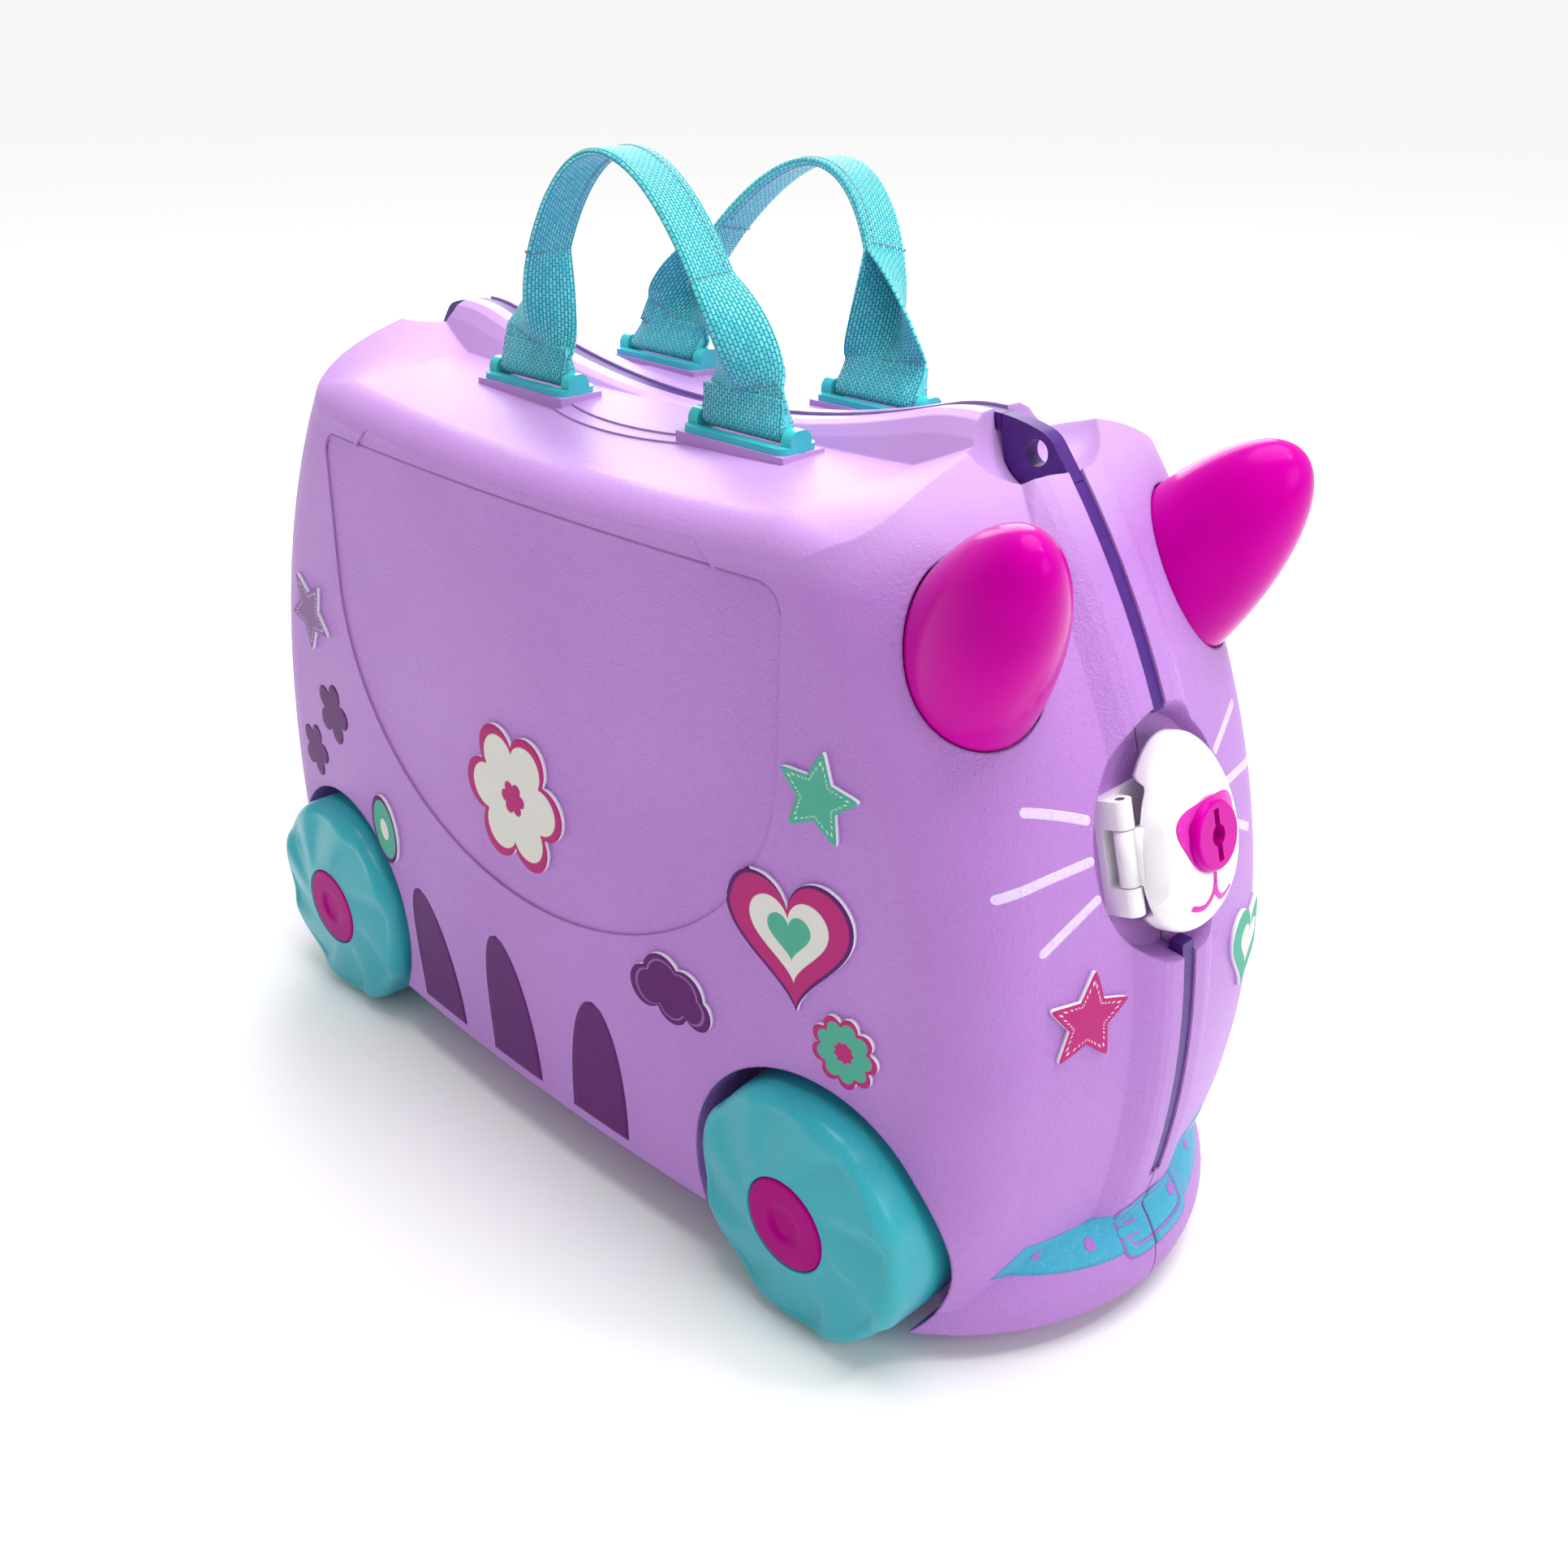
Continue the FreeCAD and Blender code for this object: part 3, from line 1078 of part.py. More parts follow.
def main():
    fill_sheet()
    pieces = {}
    for build in (build_shells, build_hinge_pin, build_wheels, build_horns, build_seals, build_anchors,
                  build_handles, build_clasps):
        pieces.update(build())
    doc.recompute()
    check_document(pieces)
    os.makedirs("parts", exist_ok=True)
    for name, obj in pieces.items():
        obj.Label = name
        obj.Shape.exportStep("parts/%s.step" % name)
        box = obj.Shape.BoundBox
        print("%-24s solids %d  volume %9.0f  x %.1f..%.1f  y %.1f..%.1f  z %.1f..%.1f" % (
            name, len(obj.Shape.Solids), obj.Shape.Volume, box.XMin, box.XMax, box.YMin, box.YMax,
            box.ZMin, box.ZMax))


main()
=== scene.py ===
"""Looks of the ride-on suitcase: finishes of its mouldings, webbing handles, printed marks and foam stickers.

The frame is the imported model's: metres, +X to the front, +Y to the left half, +Z up. Sizes below are in
millimetres and are multiplied by MM where a mesh is made.
"""
import bmesh
import bpy
import json
import math
import numpy as np
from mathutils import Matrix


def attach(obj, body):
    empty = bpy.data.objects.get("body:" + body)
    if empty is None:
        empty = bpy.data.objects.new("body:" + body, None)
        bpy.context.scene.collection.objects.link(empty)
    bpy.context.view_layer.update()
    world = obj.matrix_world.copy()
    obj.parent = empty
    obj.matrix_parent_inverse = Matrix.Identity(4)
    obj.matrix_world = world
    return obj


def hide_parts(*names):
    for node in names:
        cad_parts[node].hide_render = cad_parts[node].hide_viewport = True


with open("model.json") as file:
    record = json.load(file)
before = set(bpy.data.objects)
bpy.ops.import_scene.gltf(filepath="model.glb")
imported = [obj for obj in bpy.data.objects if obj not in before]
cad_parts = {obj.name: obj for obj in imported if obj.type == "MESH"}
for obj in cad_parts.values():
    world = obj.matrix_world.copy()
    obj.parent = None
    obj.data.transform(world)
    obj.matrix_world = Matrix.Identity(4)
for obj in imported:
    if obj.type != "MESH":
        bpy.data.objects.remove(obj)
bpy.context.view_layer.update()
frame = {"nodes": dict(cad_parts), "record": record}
MM = 0.001
TAU = 2 * math.pi
NODES = frame["nodes"]

SIDES = (("right", -1), ("left", 1))
ENDS = (("front", 1), ("rear", -1))


def linear(code):
    """Linear colour with alpha of an sRGB hex code."""
    values = np.array([int(code[i:i + 2], 16) for i in (1, 3, 5)]) / 255
    lin = np.where(values <= 0.04045, values / 12.92, ((values + 0.055) / 1.055) ** 2.4)
    return (*lin.tolist(), 1.0)


def per_metre(millimetres):
    """Texture scale at which one repeat is this long."""
    return 1.0 / (millimetres * MM)


def add_node(tree, kind, settings=None, inputs=None, stops=(), feeds=None):
    """New shader node: properties set, ramp stops placed, inputs linked or set, and outputs linked on."""
    node = tree.nodes.new(kind)
    for name, value in (settings or {}).items():
        setattr(node, name, value)
    for name, value in (inputs or {}).items():
        if isinstance(value, bpy.types.NodeSocket):
            tree.links.new(value, node.inputs[name])
        else:
            node.inputs[name].default_value = value
    for index, (position, color) in enumerate(stops):
        elements = node.color_ramp.elements
        element = elements[index] if index < 2 else elements.new(position)
        element.position = position
        element.color = linear(color)
    for name, socket in (feeds or {}).items():
        tree.links.new(node.outputs[name], socket)
    return node


def new_material(name, color, roughness, **sockets):
    """Material with one principled shader; returns it with its tree, shader and the object's own place."""
    material = bpy.data.materials.new(name)
    material.use_nodes = True
    tree = material.node_tree
    shader = tree.nodes["Principled BSDF"]
    values = {"Base Color": linear(color), "Roughness": roughness, "IOR": 1.5}
    values.update({socket.replace("_", " "): value for socket, value in sockets.items()})
    for socket, value in values.items():
        shader.inputs[socket].default_value = value
    place = add_node(tree, "ShaderNodeTexCoord").outputs["Object"]
    return material, tree, shader, place


# Heights in metres between which the shells turn from grained walls to the smooth seat
GRAIN_FADE = (0.255, 0.285)
# Heights in metres between which the seat's colour turns paler, as a painted sheen
SEAT_SHEEN_FADE = (0.262, 0.285)


def moulded_shell(name, color, light, dark, seat):
    """Moulded ABS with a leather grain: satin walls with worm-like creases that fade out on the seat, whose
    colour is painted paler there as a sheen.
    """
    material, tree, shader, place = new_material(name, color, 0.4, Specular_IOR_Level=0.4)
    cloud = add_node(tree, "ShaderNodeTexNoise",
                     inputs={"Vector": place, "Scale": per_metre(90), "Detail": 2.0})
    tone = add_node(tree, "ShaderNodeValToRGB", inputs={"Fac": cloud.outputs["Fac"]},
                    stops=((0.3, dark), (0.5, color), (0.7, light)))
    # The real creases are about 1 mm apart; they are drawn coarser, so that they show.
    grain = add_node(tree, "ShaderNodeTexNoise",
                     inputs={"Vector": place, "Scale": per_metre(2.2), "Detail": 1.0, "Distortion": 2.2})
    fine = add_node(tree, "ShaderNodeTexNoise",
                    inputs={"Vector": place, "Scale": per_metre(0.6), "Detail": 3.0})
    add_node(tree, "ShaderNodeMapRange", inputs={"Value": fine.outputs["Fac"], "To Min": 0.36, "To Max": 0.5},
             feeds={"Result": shader.inputs["Roughness"]})
    parts = add_node(tree, "ShaderNodeSeparateXYZ", inputs={"Vector": place})
    fade = add_node(tree, "ShaderNodeMapRange",
                    inputs={"Value": parts.outputs["Z"], "From Min": GRAIN_FADE[0], "From Max": GRAIN_FADE[1],
                            "To Min": 0.8, "To Max": 0.15})
    # The seat's paler colour is a painted sheen, blended in by height
    seat_sheen_share = add_node(tree, "ShaderNodeMapRange",
                      inputs={"Value": parts.outputs["Z"], "From Min": SEAT_SHEEN_FADE[0],
                              "From Max": SEAT_SHEEN_FADE[1]})
    add_node(tree, "ShaderNodeMix", {"data_type": "RGBA"},
             {"Factor": seat_sheen_share.outputs["Result"], "A": tone.outputs["Color"], "B": linear(seat)},
             feeds={"Result": shader.inputs["Base Color"]})
    edge = add_node(tree, "ShaderNodeBevel", {"samples": 4}, {"Radius": 1.2 * MM})
    low = add_node(tree, "ShaderNodeBump", inputs={"Height": fine.outputs["Fac"], "Distance": 0.05 * MM,
                                                   "Strength": 0.3, "Normal": edge.outputs["Normal"]})
    add_node(tree, "ShaderNodeBump", inputs={"Height": grain.outputs["Fac"], "Distance": 0.5 * MM,
                                             "Strength": fade.outputs["Result"],
                                             "Normal": low.outputs["Normal"]},
             feeds={"Normal": shader.inputs["Normal"]})
    return material


def gloss_moulding(name, color, dark, shine, tint="#FFFFFF"):
    """Glossy injection-moulded ABS: even colour and a clear shine with a faint orange peel."""
    material, tree, shader, place = new_material(name, color, 0.2, Specular_IOR_Level=shine,
                                                 Specular_Tint=linear(tint))
    cloud = add_node(tree, "ShaderNodeTexNoise",
                     inputs={"Vector": place, "Scale": per_metre(25), "Detail": 2.0})
    add_node(tree, "ShaderNodeValToRGB", inputs={"Fac": cloud.outputs["Fac"]},
             stops=((0.3, dark), (0.6, color)), feeds={"Color": shader.inputs["Base Color"]})
    peel = add_node(tree, "ShaderNodeTexNoise",
                    inputs={"Vector": place, "Scale": per_metre(6), "Detail": 1.0})
    add_node(tree, "ShaderNodeBump",
             inputs={"Height": peel.outputs["Fac"], "Distance": 0.03 * MM, "Strength": 0.3},
             feeds={"Normal": shader.inputs["Normal"]})
    return material


def satin_moulding(name, color, light, roughness, strength, shine, tint="#FFFFFF"):
    """Satin moulded plastic with a spark-eroded face: fine even grit that breaks up the shine."""
    material, tree, shader, place = new_material(name, color, roughness, Specular_IOR_Level=shine,
                                                 Specular_Tint=linear(tint))
    # The grit is drawn coarser than it is, so that it shows.
    grit = add_node(tree, "ShaderNodeTexNoise",
                    inputs={"Vector": place, "Scale": per_metre(0.7), "Detail": 3.0})
    add_node(tree, "ShaderNodeValToRGB", inputs={"Fac": grit.outputs["Fac"]},
             stops=((0.35, color), (0.75, light)), feeds={"Color": shader.inputs["Base Color"]})
    add_node(tree, "ShaderNodeBump",
             inputs={"Height": grit.outputs["Fac"], "Distance": 0.06 * MM, "Strength": strength},
             feeds={"Normal": shader.inputs["Normal"]})
    return material


def soft_rubber(name, color, light):
    """Extruded thermoplastic rubber: dark and dull, with a faint bloom along it."""
    material, tree, shader, place = new_material(name, color, 0.45)
    bloom = add_node(tree, "ShaderNodeTexNoise",
                     inputs={"Vector": place, "Scale": per_metre(4), "Detail": 5.0})
    add_node(tree, "ShaderNodeValToRGB", inputs={"Fac": bloom.outputs["Fac"]},
             stops=((0.35, color), (0.8, light)), feeds={"Color": shader.inputs["Base Color"]})
    add_node(tree, "ShaderNodeBump",
             inputs={"Height": bloom.outputs["Fac"], "Distance": 0.08 * MM, "Strength": 0.3},
             feeds={"Normal": shader.inputs["Normal"]})
    return material


def drawn_steel(name, color):
    """Drawn steel wire and bar: bright, with a fine grey grain in the shine."""
    material, tree, shader, place = new_material(name, color, 0.3, Metallic=1.0)
    lines = add_node(tree, "ShaderNodeTexNoise",
                     inputs={"Vector": place, "Scale": per_metre(0.6), "Detail": 4.0})
    add_node(tree, "ShaderNodeMapRange",
             inputs={"Value": lines.outputs["Fac"], "To Min": 0.22, "To Max": 0.42},
             feeds={"Result": shader.inputs["Roughness"]})
    return material


def woven_webbing(name, color, light, dark):
    """Woven polypropylene webbing: staggered rows of shiny raised yarns, with painted shade darkening the gaps
    between them.

    The UV map "weave" holds the place along and across the band in metres.
    """
    material, tree, shader, _ = new_material(name, color, 0.5, Sheen_Weight=0.2)
    uv = add_node(tree, "ShaderNodeUVMap", {"uv_map": "weave"}).outputs["UV"]
    yarn = add_node(tree, "ShaderNodeTexBrick", {"offset": 0.5, "offset_frequency": 2},
                    {"Vector": uv, "Scale": per_metre(2.6), "Mortar Size": 0.1, "Mortar Smooth": 1.0,
                     "Brick Width": 0.85, "Row Height": 0.5, "Color1": linear("#FFFFFF"),
                     "Color2": linear("#D0D0D0"), "Mortar": linear("#000000")})
    # The yarns take tones between the band colour and its lighter one; the gaps take the dark colour, a
    # painted shade
    add_node(tree, "ShaderNodeValToRGB", inputs={"Fac": yarn.outputs["Color"]},
             stops=((0.0, dark), (0.5, color), (1.0, light)), feeds={"Color": shader.inputs["Base Color"]})
    fuzz = add_node(tree, "ShaderNodeTexNoise", inputs={"Vector": uv, "Scale": per_metre(0.4), "Detail": 3.0})
    low = add_node(tree, "ShaderNodeBump",
                   inputs={"Height": yarn.outputs["Color"], "Distance": 0.6 * MM, "Strength": 0.8})
    add_node(tree, "ShaderNodeBump", inputs={"Height": fuzz.outputs["Fac"], "Distance": 0.1 * MM,
                                             "Strength": 0.3, "Normal": low.outputs["Normal"]},
             feeds={"Normal": shader.inputs["Normal"]})
    return material


def ink(name, color, light, roughness):
    """Pad-printed ink over the grain: flat colour, slightly speckled where the grain breaks it."""
    material, tree, shader, place = new_material(name, color, roughness, Specular_IOR_Level=0.12)
    speckle = add_node(tree, "ShaderNodeTexNoise",
                       inputs={"Vector": place, "Scale": per_metre(2.2), "Detail": 2.0, "Distortion": 2.2})
    add_node(tree, "ShaderNodeValToRGB", inputs={"Fac": speckle.outputs["Fac"]},
             stops=((0.45, color), (0.75, light)), feeds={"Color": shader.inputs["Base Color"]})
    add_node(tree, "ShaderNodeBump",
             inputs={"Height": speckle.outputs["Fac"], "Distance": 0.3 * MM, "Strength": 0.4},
             feeds={"Normal": shader.inputs["Normal"]})
    return material


# Dashes round a star, and half the soft edge between two rings
DASHES, SOFT = 50, 0.008


def printed_foam(name, rings, stitched=False):
    """Printed EVA foam: matt colour fields in rings towards the edge, and a pale dash line on stars.

    The UV map "rim" holds the share of the way from the middle to the edge, and of the way round.
    """
    material, tree, shader, place = new_material(name, rings[0][1], 0.6, Specular_IOR_Level=0.15)
    uv = add_node(tree, "ShaderNodeUVMap", {"uv_map": "rim"}).outputs["UV"]
    parts = add_node(tree, "ShaderNodeSeparateXYZ", inputs={"Vector": uv})
    stops = [(0.0, rings[0][1])]
    for (limit, color), (_, beyond) in zip(rings, rings[1:]):
        stops += [(limit - SOFT, color), (limit + SOFT, beyond)]
    stops.append((1.0, rings[-1][1]))
    field = add_node(tree, "ShaderNodeValToRGB", inputs={"Fac": parts.outputs["X"]}, stops=stops)
    tint = field.outputs["Color"]
    if stitched:
        turns = add_node(tree, "ShaderNodeMath", {"operation": "MULTIPLY"},
                         {0: parts.outputs["Y"], 1: DASHES * TAU})
        dash = add_node(tree, "ShaderNodeMath", {"operation": "SINE"}, {0: turns.outputs[0]})
        band = add_node(tree, "ShaderNodeValToRGB", inputs={"Fac": parts.outputs["X"]},
                        stops=((0.0, "#000000"), (0.72, "#000000"), (0.75, "#FFFFFF"), (0.8, "#FFFFFF"),
                               (0.83, "#000000")))
        mask = add_node(tree, "ShaderNodeMath", {"operation": "MULTIPLY", "use_clamp": True},
                        {0: dash.outputs[0], 1: band.outputs["Color"]})
        mixed = add_node(tree, "ShaderNodeMix", {"data_type": "RGBA"},
                         {"Factor": mask.outputs[0], "A": tint, "B": linear("#E4E4EA")})
        tint = mixed.outputs["Result"]
    tree.links.new(tint, shader.inputs["Base Color"])
    pores = add_node(tree, "ShaderNodeTexNoise",
                     inputs={"Vector": place, "Scale": per_metre(0.8), "Detail": 3.0})
    add_node(tree, "ShaderNodeBump",
             inputs={"Height": pores.outputs["Fac"], "Distance": 0.08 * MM, "Strength": 0.4},
             feeds={"Normal": shader.inputs["Normal"]})
    return material


MAGENTA, TEAL, PURPLE, CREAM = "#B02A72", "#4FA68F", "#5B1F66", "#D8D6D0"
FINISH = {
    # The last colour is the seat's paler tone, a painted sheen
    "shell": moulded_shell("lilac_moulded_abs", "#AF79C8", "#B37ECC", "#AB74C4", "#C298D6"),
    "magenta": gloss_moulding("magenta_gloss_abs", "#C4009A", "#BA0092", 0.22, "#FF50D8"),
    "cap": satin_moulding("magenta_satin_abs", "#A20076", "#AA007E", 0.4, 0.15, 0.08, "#FF50D8"),
    "wheel": satin_moulding("teal_satin_abs", "#2FA2AF", "#3AACB8", 0.28, 0.3, 0.3),
    "white": gloss_moulding("white_gloss_abs", "#F2EFF2", "#EDEAEE", 0.5),
    "anchor": gloss_moulding("light_teal_acetal", "#3FC6C9", "#37B4BA", 0.4),
    "seal": soft_rubber("dark_purple_seal_rubber", "#3C0A70", "#4B1580"),
    "steel": drawn_steel("drawn_steel", "#B8BABD"),
    # The last colour is painted shade in the gaps between the yarns
    "webbing": woven_webbing("teal_polypropylene_webbing", "#16BCCB", "#66DEE2", "#067D8E"),
    "thread": soft_rubber("grey_polyester_thread", "#5F8797", "#84A9B6"),
    "pale_ink": ink("pale_lilac_ink", "#DCC9F2", "#CBB2E6", 0.45),
    "dark_ink": ink("dark_purple_ink", "#5A1F66", "#622670", 0.45),
    "collar_ink": ink("light_blue_ink", "#43A2C2", "#55B0CE", 0.35),
    "line_ink": ink("lilac_ink", "#A872C6", "#B07ACC", 0.45),
    # A darker lilac line painted along each panel's top edge as the shade of its moulded step
    "edge_ink": ink("painted_shade_lilac", "#93609F", "#9A68A8", 0.45),
    "nose_ink": ink("magenta_ink", "#D22FAF", "#DA3CB8", 0.25),
    "foam": satin_moulding("white_eva_foam", "#E4DFF0", "#F2EFF8", 0.6, 0.3, 0.2),
    "lilac_star": printed_foam("lilac_printed_foam", ((1.0, "#8F6C9E"),), True),
    "teal_star": printed_foam("teal_printed_foam", ((1.0, TEAL),), True),
    "magenta_star": printed_foam("magenta_printed_foam", ((1.0, MAGENTA),), True),
    "flower": printed_foam("cream_flower_foam", ((0.24, MAGENTA), (0.86, CREAM), (1.0, MAGENTA))),
    "big_heart": printed_foam("magenta_heart_foam",
                              ((0.34, TEAL), (0.62, CREAM), (0.93, MAGENTA), (1.0, PURPLE))),
    "cloud": printed_foam("purple_cloud_foam", ((0.8, PURPLE), (0.86, "#8C5A9A"), (1.0, PURPLE))),
    "sun": printed_foam("teal_sun_foam", ((0.3, MAGENTA), (0.84, TEAL), (1.0, MAGENTA))),
    "oval": printed_foam("teal_oval_foam", ((0.32, CREAM), (0.86, TEAL), (1.0, PURPLE))),
    "teal_heart": printed_foam("teal_heart_foam", ((0.5, CREAM), (1.0, TEAL))),
}


def finish_nodes():
    """CAD nodes that keep their shape get the finish of their record slot."""
    by_slot = {"shell_plastic": "shell", "magenta_plastic": "magenta", "wheel_plastic": "wheel",
               "clasp_plastic": "white", "seal_rubber": "seal", "eyelet_plastic": "seal",
               "webbing": "webbing", "anchor_plastic": "anchor", "steel": "steel"}
    for part in frame["record"]["subparts"]:
        data = NODES[part["node"]].data
        data.materials.clear()
        data.materials.append(FINISH[by_slot[part["material_slot"]]])


def grid_faces(rows, columns, wrap_rows=False, wrap_columns=False):
    """Quads of a grid of points, counted row by row, optionally closed in either direction."""
    i = np.arange(rows if wrap_rows else rows - 1)
    j = np.arange(columns if wrap_columns else columns - 1)
    a, b = np.meshgrid(i, j, indexing="ij")
    c, d = (a + 1) % rows, (b + 1) % columns
    quads = np.stack((a * columns + b, c * columns + b, c * columns + d, a * columns + d), -1)
    return quads.reshape(-1, 4)


def weld(mesh):
    """Join points that lie on one another, which closes poles and seams."""
    work = bmesh.new()
    work.from_mesh(mesh)
    bmesh.ops.remove_doubles(work, verts=work.verts, dist=MM / 1000)
    work.to_mesh(mesh)
    work.free()


def closed_ends(grid):
    """Grid with its first and last rows drawn together to their middles in a further row."""
    grid = np.asarray(grid, float)
    first, last = grid[:1].mean(1, keepdims=True), grid[-1:].mean(1, keepdims=True)
    return np.concatenate((first + 0 * grid[:1], grid, last + 0 * grid[-1:]))


def make_mesh(name, points, faces, finishes, uv=None):
    """Smooth mesh from points in millimetres, with its finishes and one UV map given point by point."""
    mesh = bpy.data.meshes.new(name)
    points = np.asarray(points, float).reshape(-1, 3) * MM
    mesh.from_pydata(points.tolist(), [], np.asarray(faces).tolist())
    if uv is not None:
        layer = mesh.uv_layers.new(name=uv[0])
        corner = np.zeros(len(mesh.loops), np.int32)
        mesh.loops.foreach_get("vertex_index", corner)
        layer.data.foreach_set("uv", np.asarray(uv[1], float).reshape(-1, 2)[corner].ravel())
    mesh.polygons.foreach_set("use_smooth", [True] * len(mesh.polygons))
    for key in finishes:
        mesh.materials.append(FINISH[key])
    weld(mesh)
    return mesh


def settle(name, mesh, body, replaces=()):
    """Object of a mesh that rides on a body and may stand for CAD nodes."""
    obj = bpy.data.objects.new(name, mesh)
    bpy.context.scene.collection.objects.link(obj)
    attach(obj, body)
    if replaces:
        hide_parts(*replaces)


def make_piece(name, points, faces, finishes, body, slot, replaces=(), uv=None):
    """Piece from points in millimetres and their faces, set on its body."""
    settle(name, make_mesh(name, points, faces, finishes, uv), body, replaces)


def smooth_step(value, low, high):
    """0 below low, 1 above high, and an S between."""
    part = np.clip((value - low) / (high - low), 0, 1)
    return part * part * (3 - 2 * part)


def unit(vectors):
    """Vectors brought to a length of one."""
    return vectors / np.linalg.norm(vectors, axis=-1, keepdims=True)


def run_length(path):
    """Distance along a path at each of its points."""
    return np.concatenate(([0.0], np.cumsum(np.linalg.norm(np.diff(path, axis=0), axis=-1))))


def facing(faces, outward):
    """The faces as they are, or turned over."""
    return faces if outward else faces[:, ::-1]


# Wheels
WHEEL_X, WHEEL_R, WHEEL_FACE, WHEEL_WIDTH = 144.0, 47.3, 102.0, 36.0
BORE_R, RIM_R, HUB_R, CORE_DEPTH, TREAD_WALL = 4.1, 7.0, 10.0, 24.0, 4.2
CAP_R, CAP_THICK, CAP_EDGE, CAP_EDGE_DROP = 17.5, 3.0, 1.6, 1.2
CAP_SEAT_R, CAP_SEAT_DEPTH = 17.6, 7.0
DIMPLE_FLOOR, DIMPLE_EDGE, DIMPLE_DEPTH = 5.0, 8.2, 1.1
FACE_START, FACE_STEP, FACE_FALL = 18.6, 0.6, 1.4
PETALS, PETAL_START, PETAL_TWIST, PETAL_PEAK = 8, 18.0, 0.42, 0.72
PETAL_DROP, PETAL_DRAW = 2.8, 2.3
RIM_ROWS, TREAD_ROWS = 11, 8


def wheel_surface(turns, steps):
    """Turned profile whose face is cut into petals.

    The profile runs from the cap's recess over the face, round the rim, along the tread and into the cored
    back. A skewed wave of the angle, twisted with the radius, lowers the face towards each petal's end and
    draws the rim in, and both fade out at the hub and along the tread.
    """
    face, back, flat_end = WHEEL_FACE, WHEEL_FACE - WHEEL_WIDTH, WHEEL_R - RIM_R
    arc = np.linspace(0, math.pi / 2, RIM_ROWS + 1)[1:]
    flat = np.linspace(FACE_START, flat_end, steps)
    level = face - FACE_STEP - FACE_FALL * (flat - FACE_START) / (flat_end - FACE_START)
    rim_foot = level[-1] - RIM_R
    core, core_r = back + CORE_DEPTH, WHEEL_R - TREAD_WALL
    radius = np.concatenate(([BORE_R, CAP_SEAT_R, CAP_SEAT_R, CAP_SEAT_R + 0.3], flat,
                             flat_end + RIM_R * np.sin(arc), np.full(TREAD_ROWS, WHEEL_R),
                             [WHEEL_R - 0.8, core_r + 0.2, core_r, HUB_R, HUB_R, BORE_R]))
    height = np.concatenate(([face - CAP_SEAT_DEPTH, face - CAP_SEAT_DEPTH, face - 0.5, face - 0.25], level,
                             rim_foot + RIM_R * np.cos(arc),
                             np.linspace(rim_foot - 1, back + 0.8, TREAD_ROWS),
                             [back, back, core, core, back, back]))
    weight = np.concatenate((np.zeros(4), np.linspace(0, 1, steps) ** 0.8, np.linspace(1, 0.8, RIM_ROWS),
                             np.linspace(0.7, 0, TREAD_ROWS), np.zeros(6)))
    inward = np.concatenate((np.zeros(4 + steps), np.sin(arc), np.linspace(1, 0, TREAD_ROWS) ** 1.5,
                             np.zeros(6)))
    angle = np.arange(turns) * TAU / turns
    share = (np.clip(radius, PETAL_START, WHEEL_R) - PETAL_START) / (WHEEL_R - PETAL_START)
    phase = PETALS * (angle[None, :] + PETAL_TWIST * share[:, None]) / TAU % 1.0
    wave = np.where(phase < PETAL_PEAK, smooth_step(phase, 0.0, PETAL_PEAK),
                    1 - smooth_step(phase, PETAL_PEAK, 1.0))
    r = radius[:, None] - PETAL_DRAW * (inward * weight)[:, None] * wave
    h = height[:, None] - PETAL_DROP * (weight * (1 - inward))[:, None] * wave
    return r * np.cos(angle), r * np.sin(angle), h


def turned_surface(profile, turns):
    """Profile of radius and height turned a full circle about its axis."""
    angle = np.arange(turns) * TAU / turns
    r, h = np.asarray(profile, float).T
    return r[:, None] * np.cos(angle), r[:, None] * np.sin(angle), h[:, None] + 0 * angle


def on_axle(surface, way, sign):
    """Carry a turned surface to an axle: its height runs outwards along Y, and it is mirrored at the left."""
    u, v, h = surface
    return np.stack((way * WHEEL_X + u, sign * h, WHEEL_R + v), -1)


def cap_profile():
    """Section of a hub cap: round edge, flat ring, and a dimple with soft shoulders."""
    ring = CAP_R * np.linspace(0, 1, 24)
    dip = -DIMPLE_DEPTH * (1 - smooth_step(ring, DIMPLE_FLOOR, DIMPLE_EDGE))
    edge = -CAP_EDGE_DROP * smooth_step(ring, CAP_R - CAP_EDGE, CAP_R) ** 2
    top = np.stack((ring, WHEEL_FACE - 0.1 + dip + edge), -1)
    return np.concatenate((top, [[CAP_R, WHEEL_FACE - CAP_THICK], [0.0, WHEEL_FACE - CAP_THICK]]))


def build_wheels():
    """Four wheels and their hub caps."""
    for side, sign in SIDES:
        for end, way in ENDS:
            key = "%s_%s" % (end, side)
            points = on_axle(wheel_surface(192, 20), way, sign)
            faces = facing(grid_faces(*points.shape[:2], wrap_rows=True, wrap_columns=True), sign < 0)
            make_piece(key + "_wheel_moulding", points, faces, ["wheel"], key + "_wheel", "wheel_plastic",
                       [key + "_wheel"])
            points = on_axle(turned_surface(cap_profile(), 72), way, sign)
            faces = facing(grid_faces(*points.shape[:2], wrap_columns=True), sign < 0)
            make_piece(key + "_cap_moulding", points, faces, ["cap"], key + "_wheel", "magenta_plastic",
                       [key + "_hub_cap"])


# Horn grips
HORN_BASE, HORN_YAW, HORN_LIFT = np.array([166.8, -50.3, 237.6]), 25.0, 53.0
HORN_LENGTH, HORN_DEPTH, HORN_BREADTH = 63.0, 26.6, 22.8


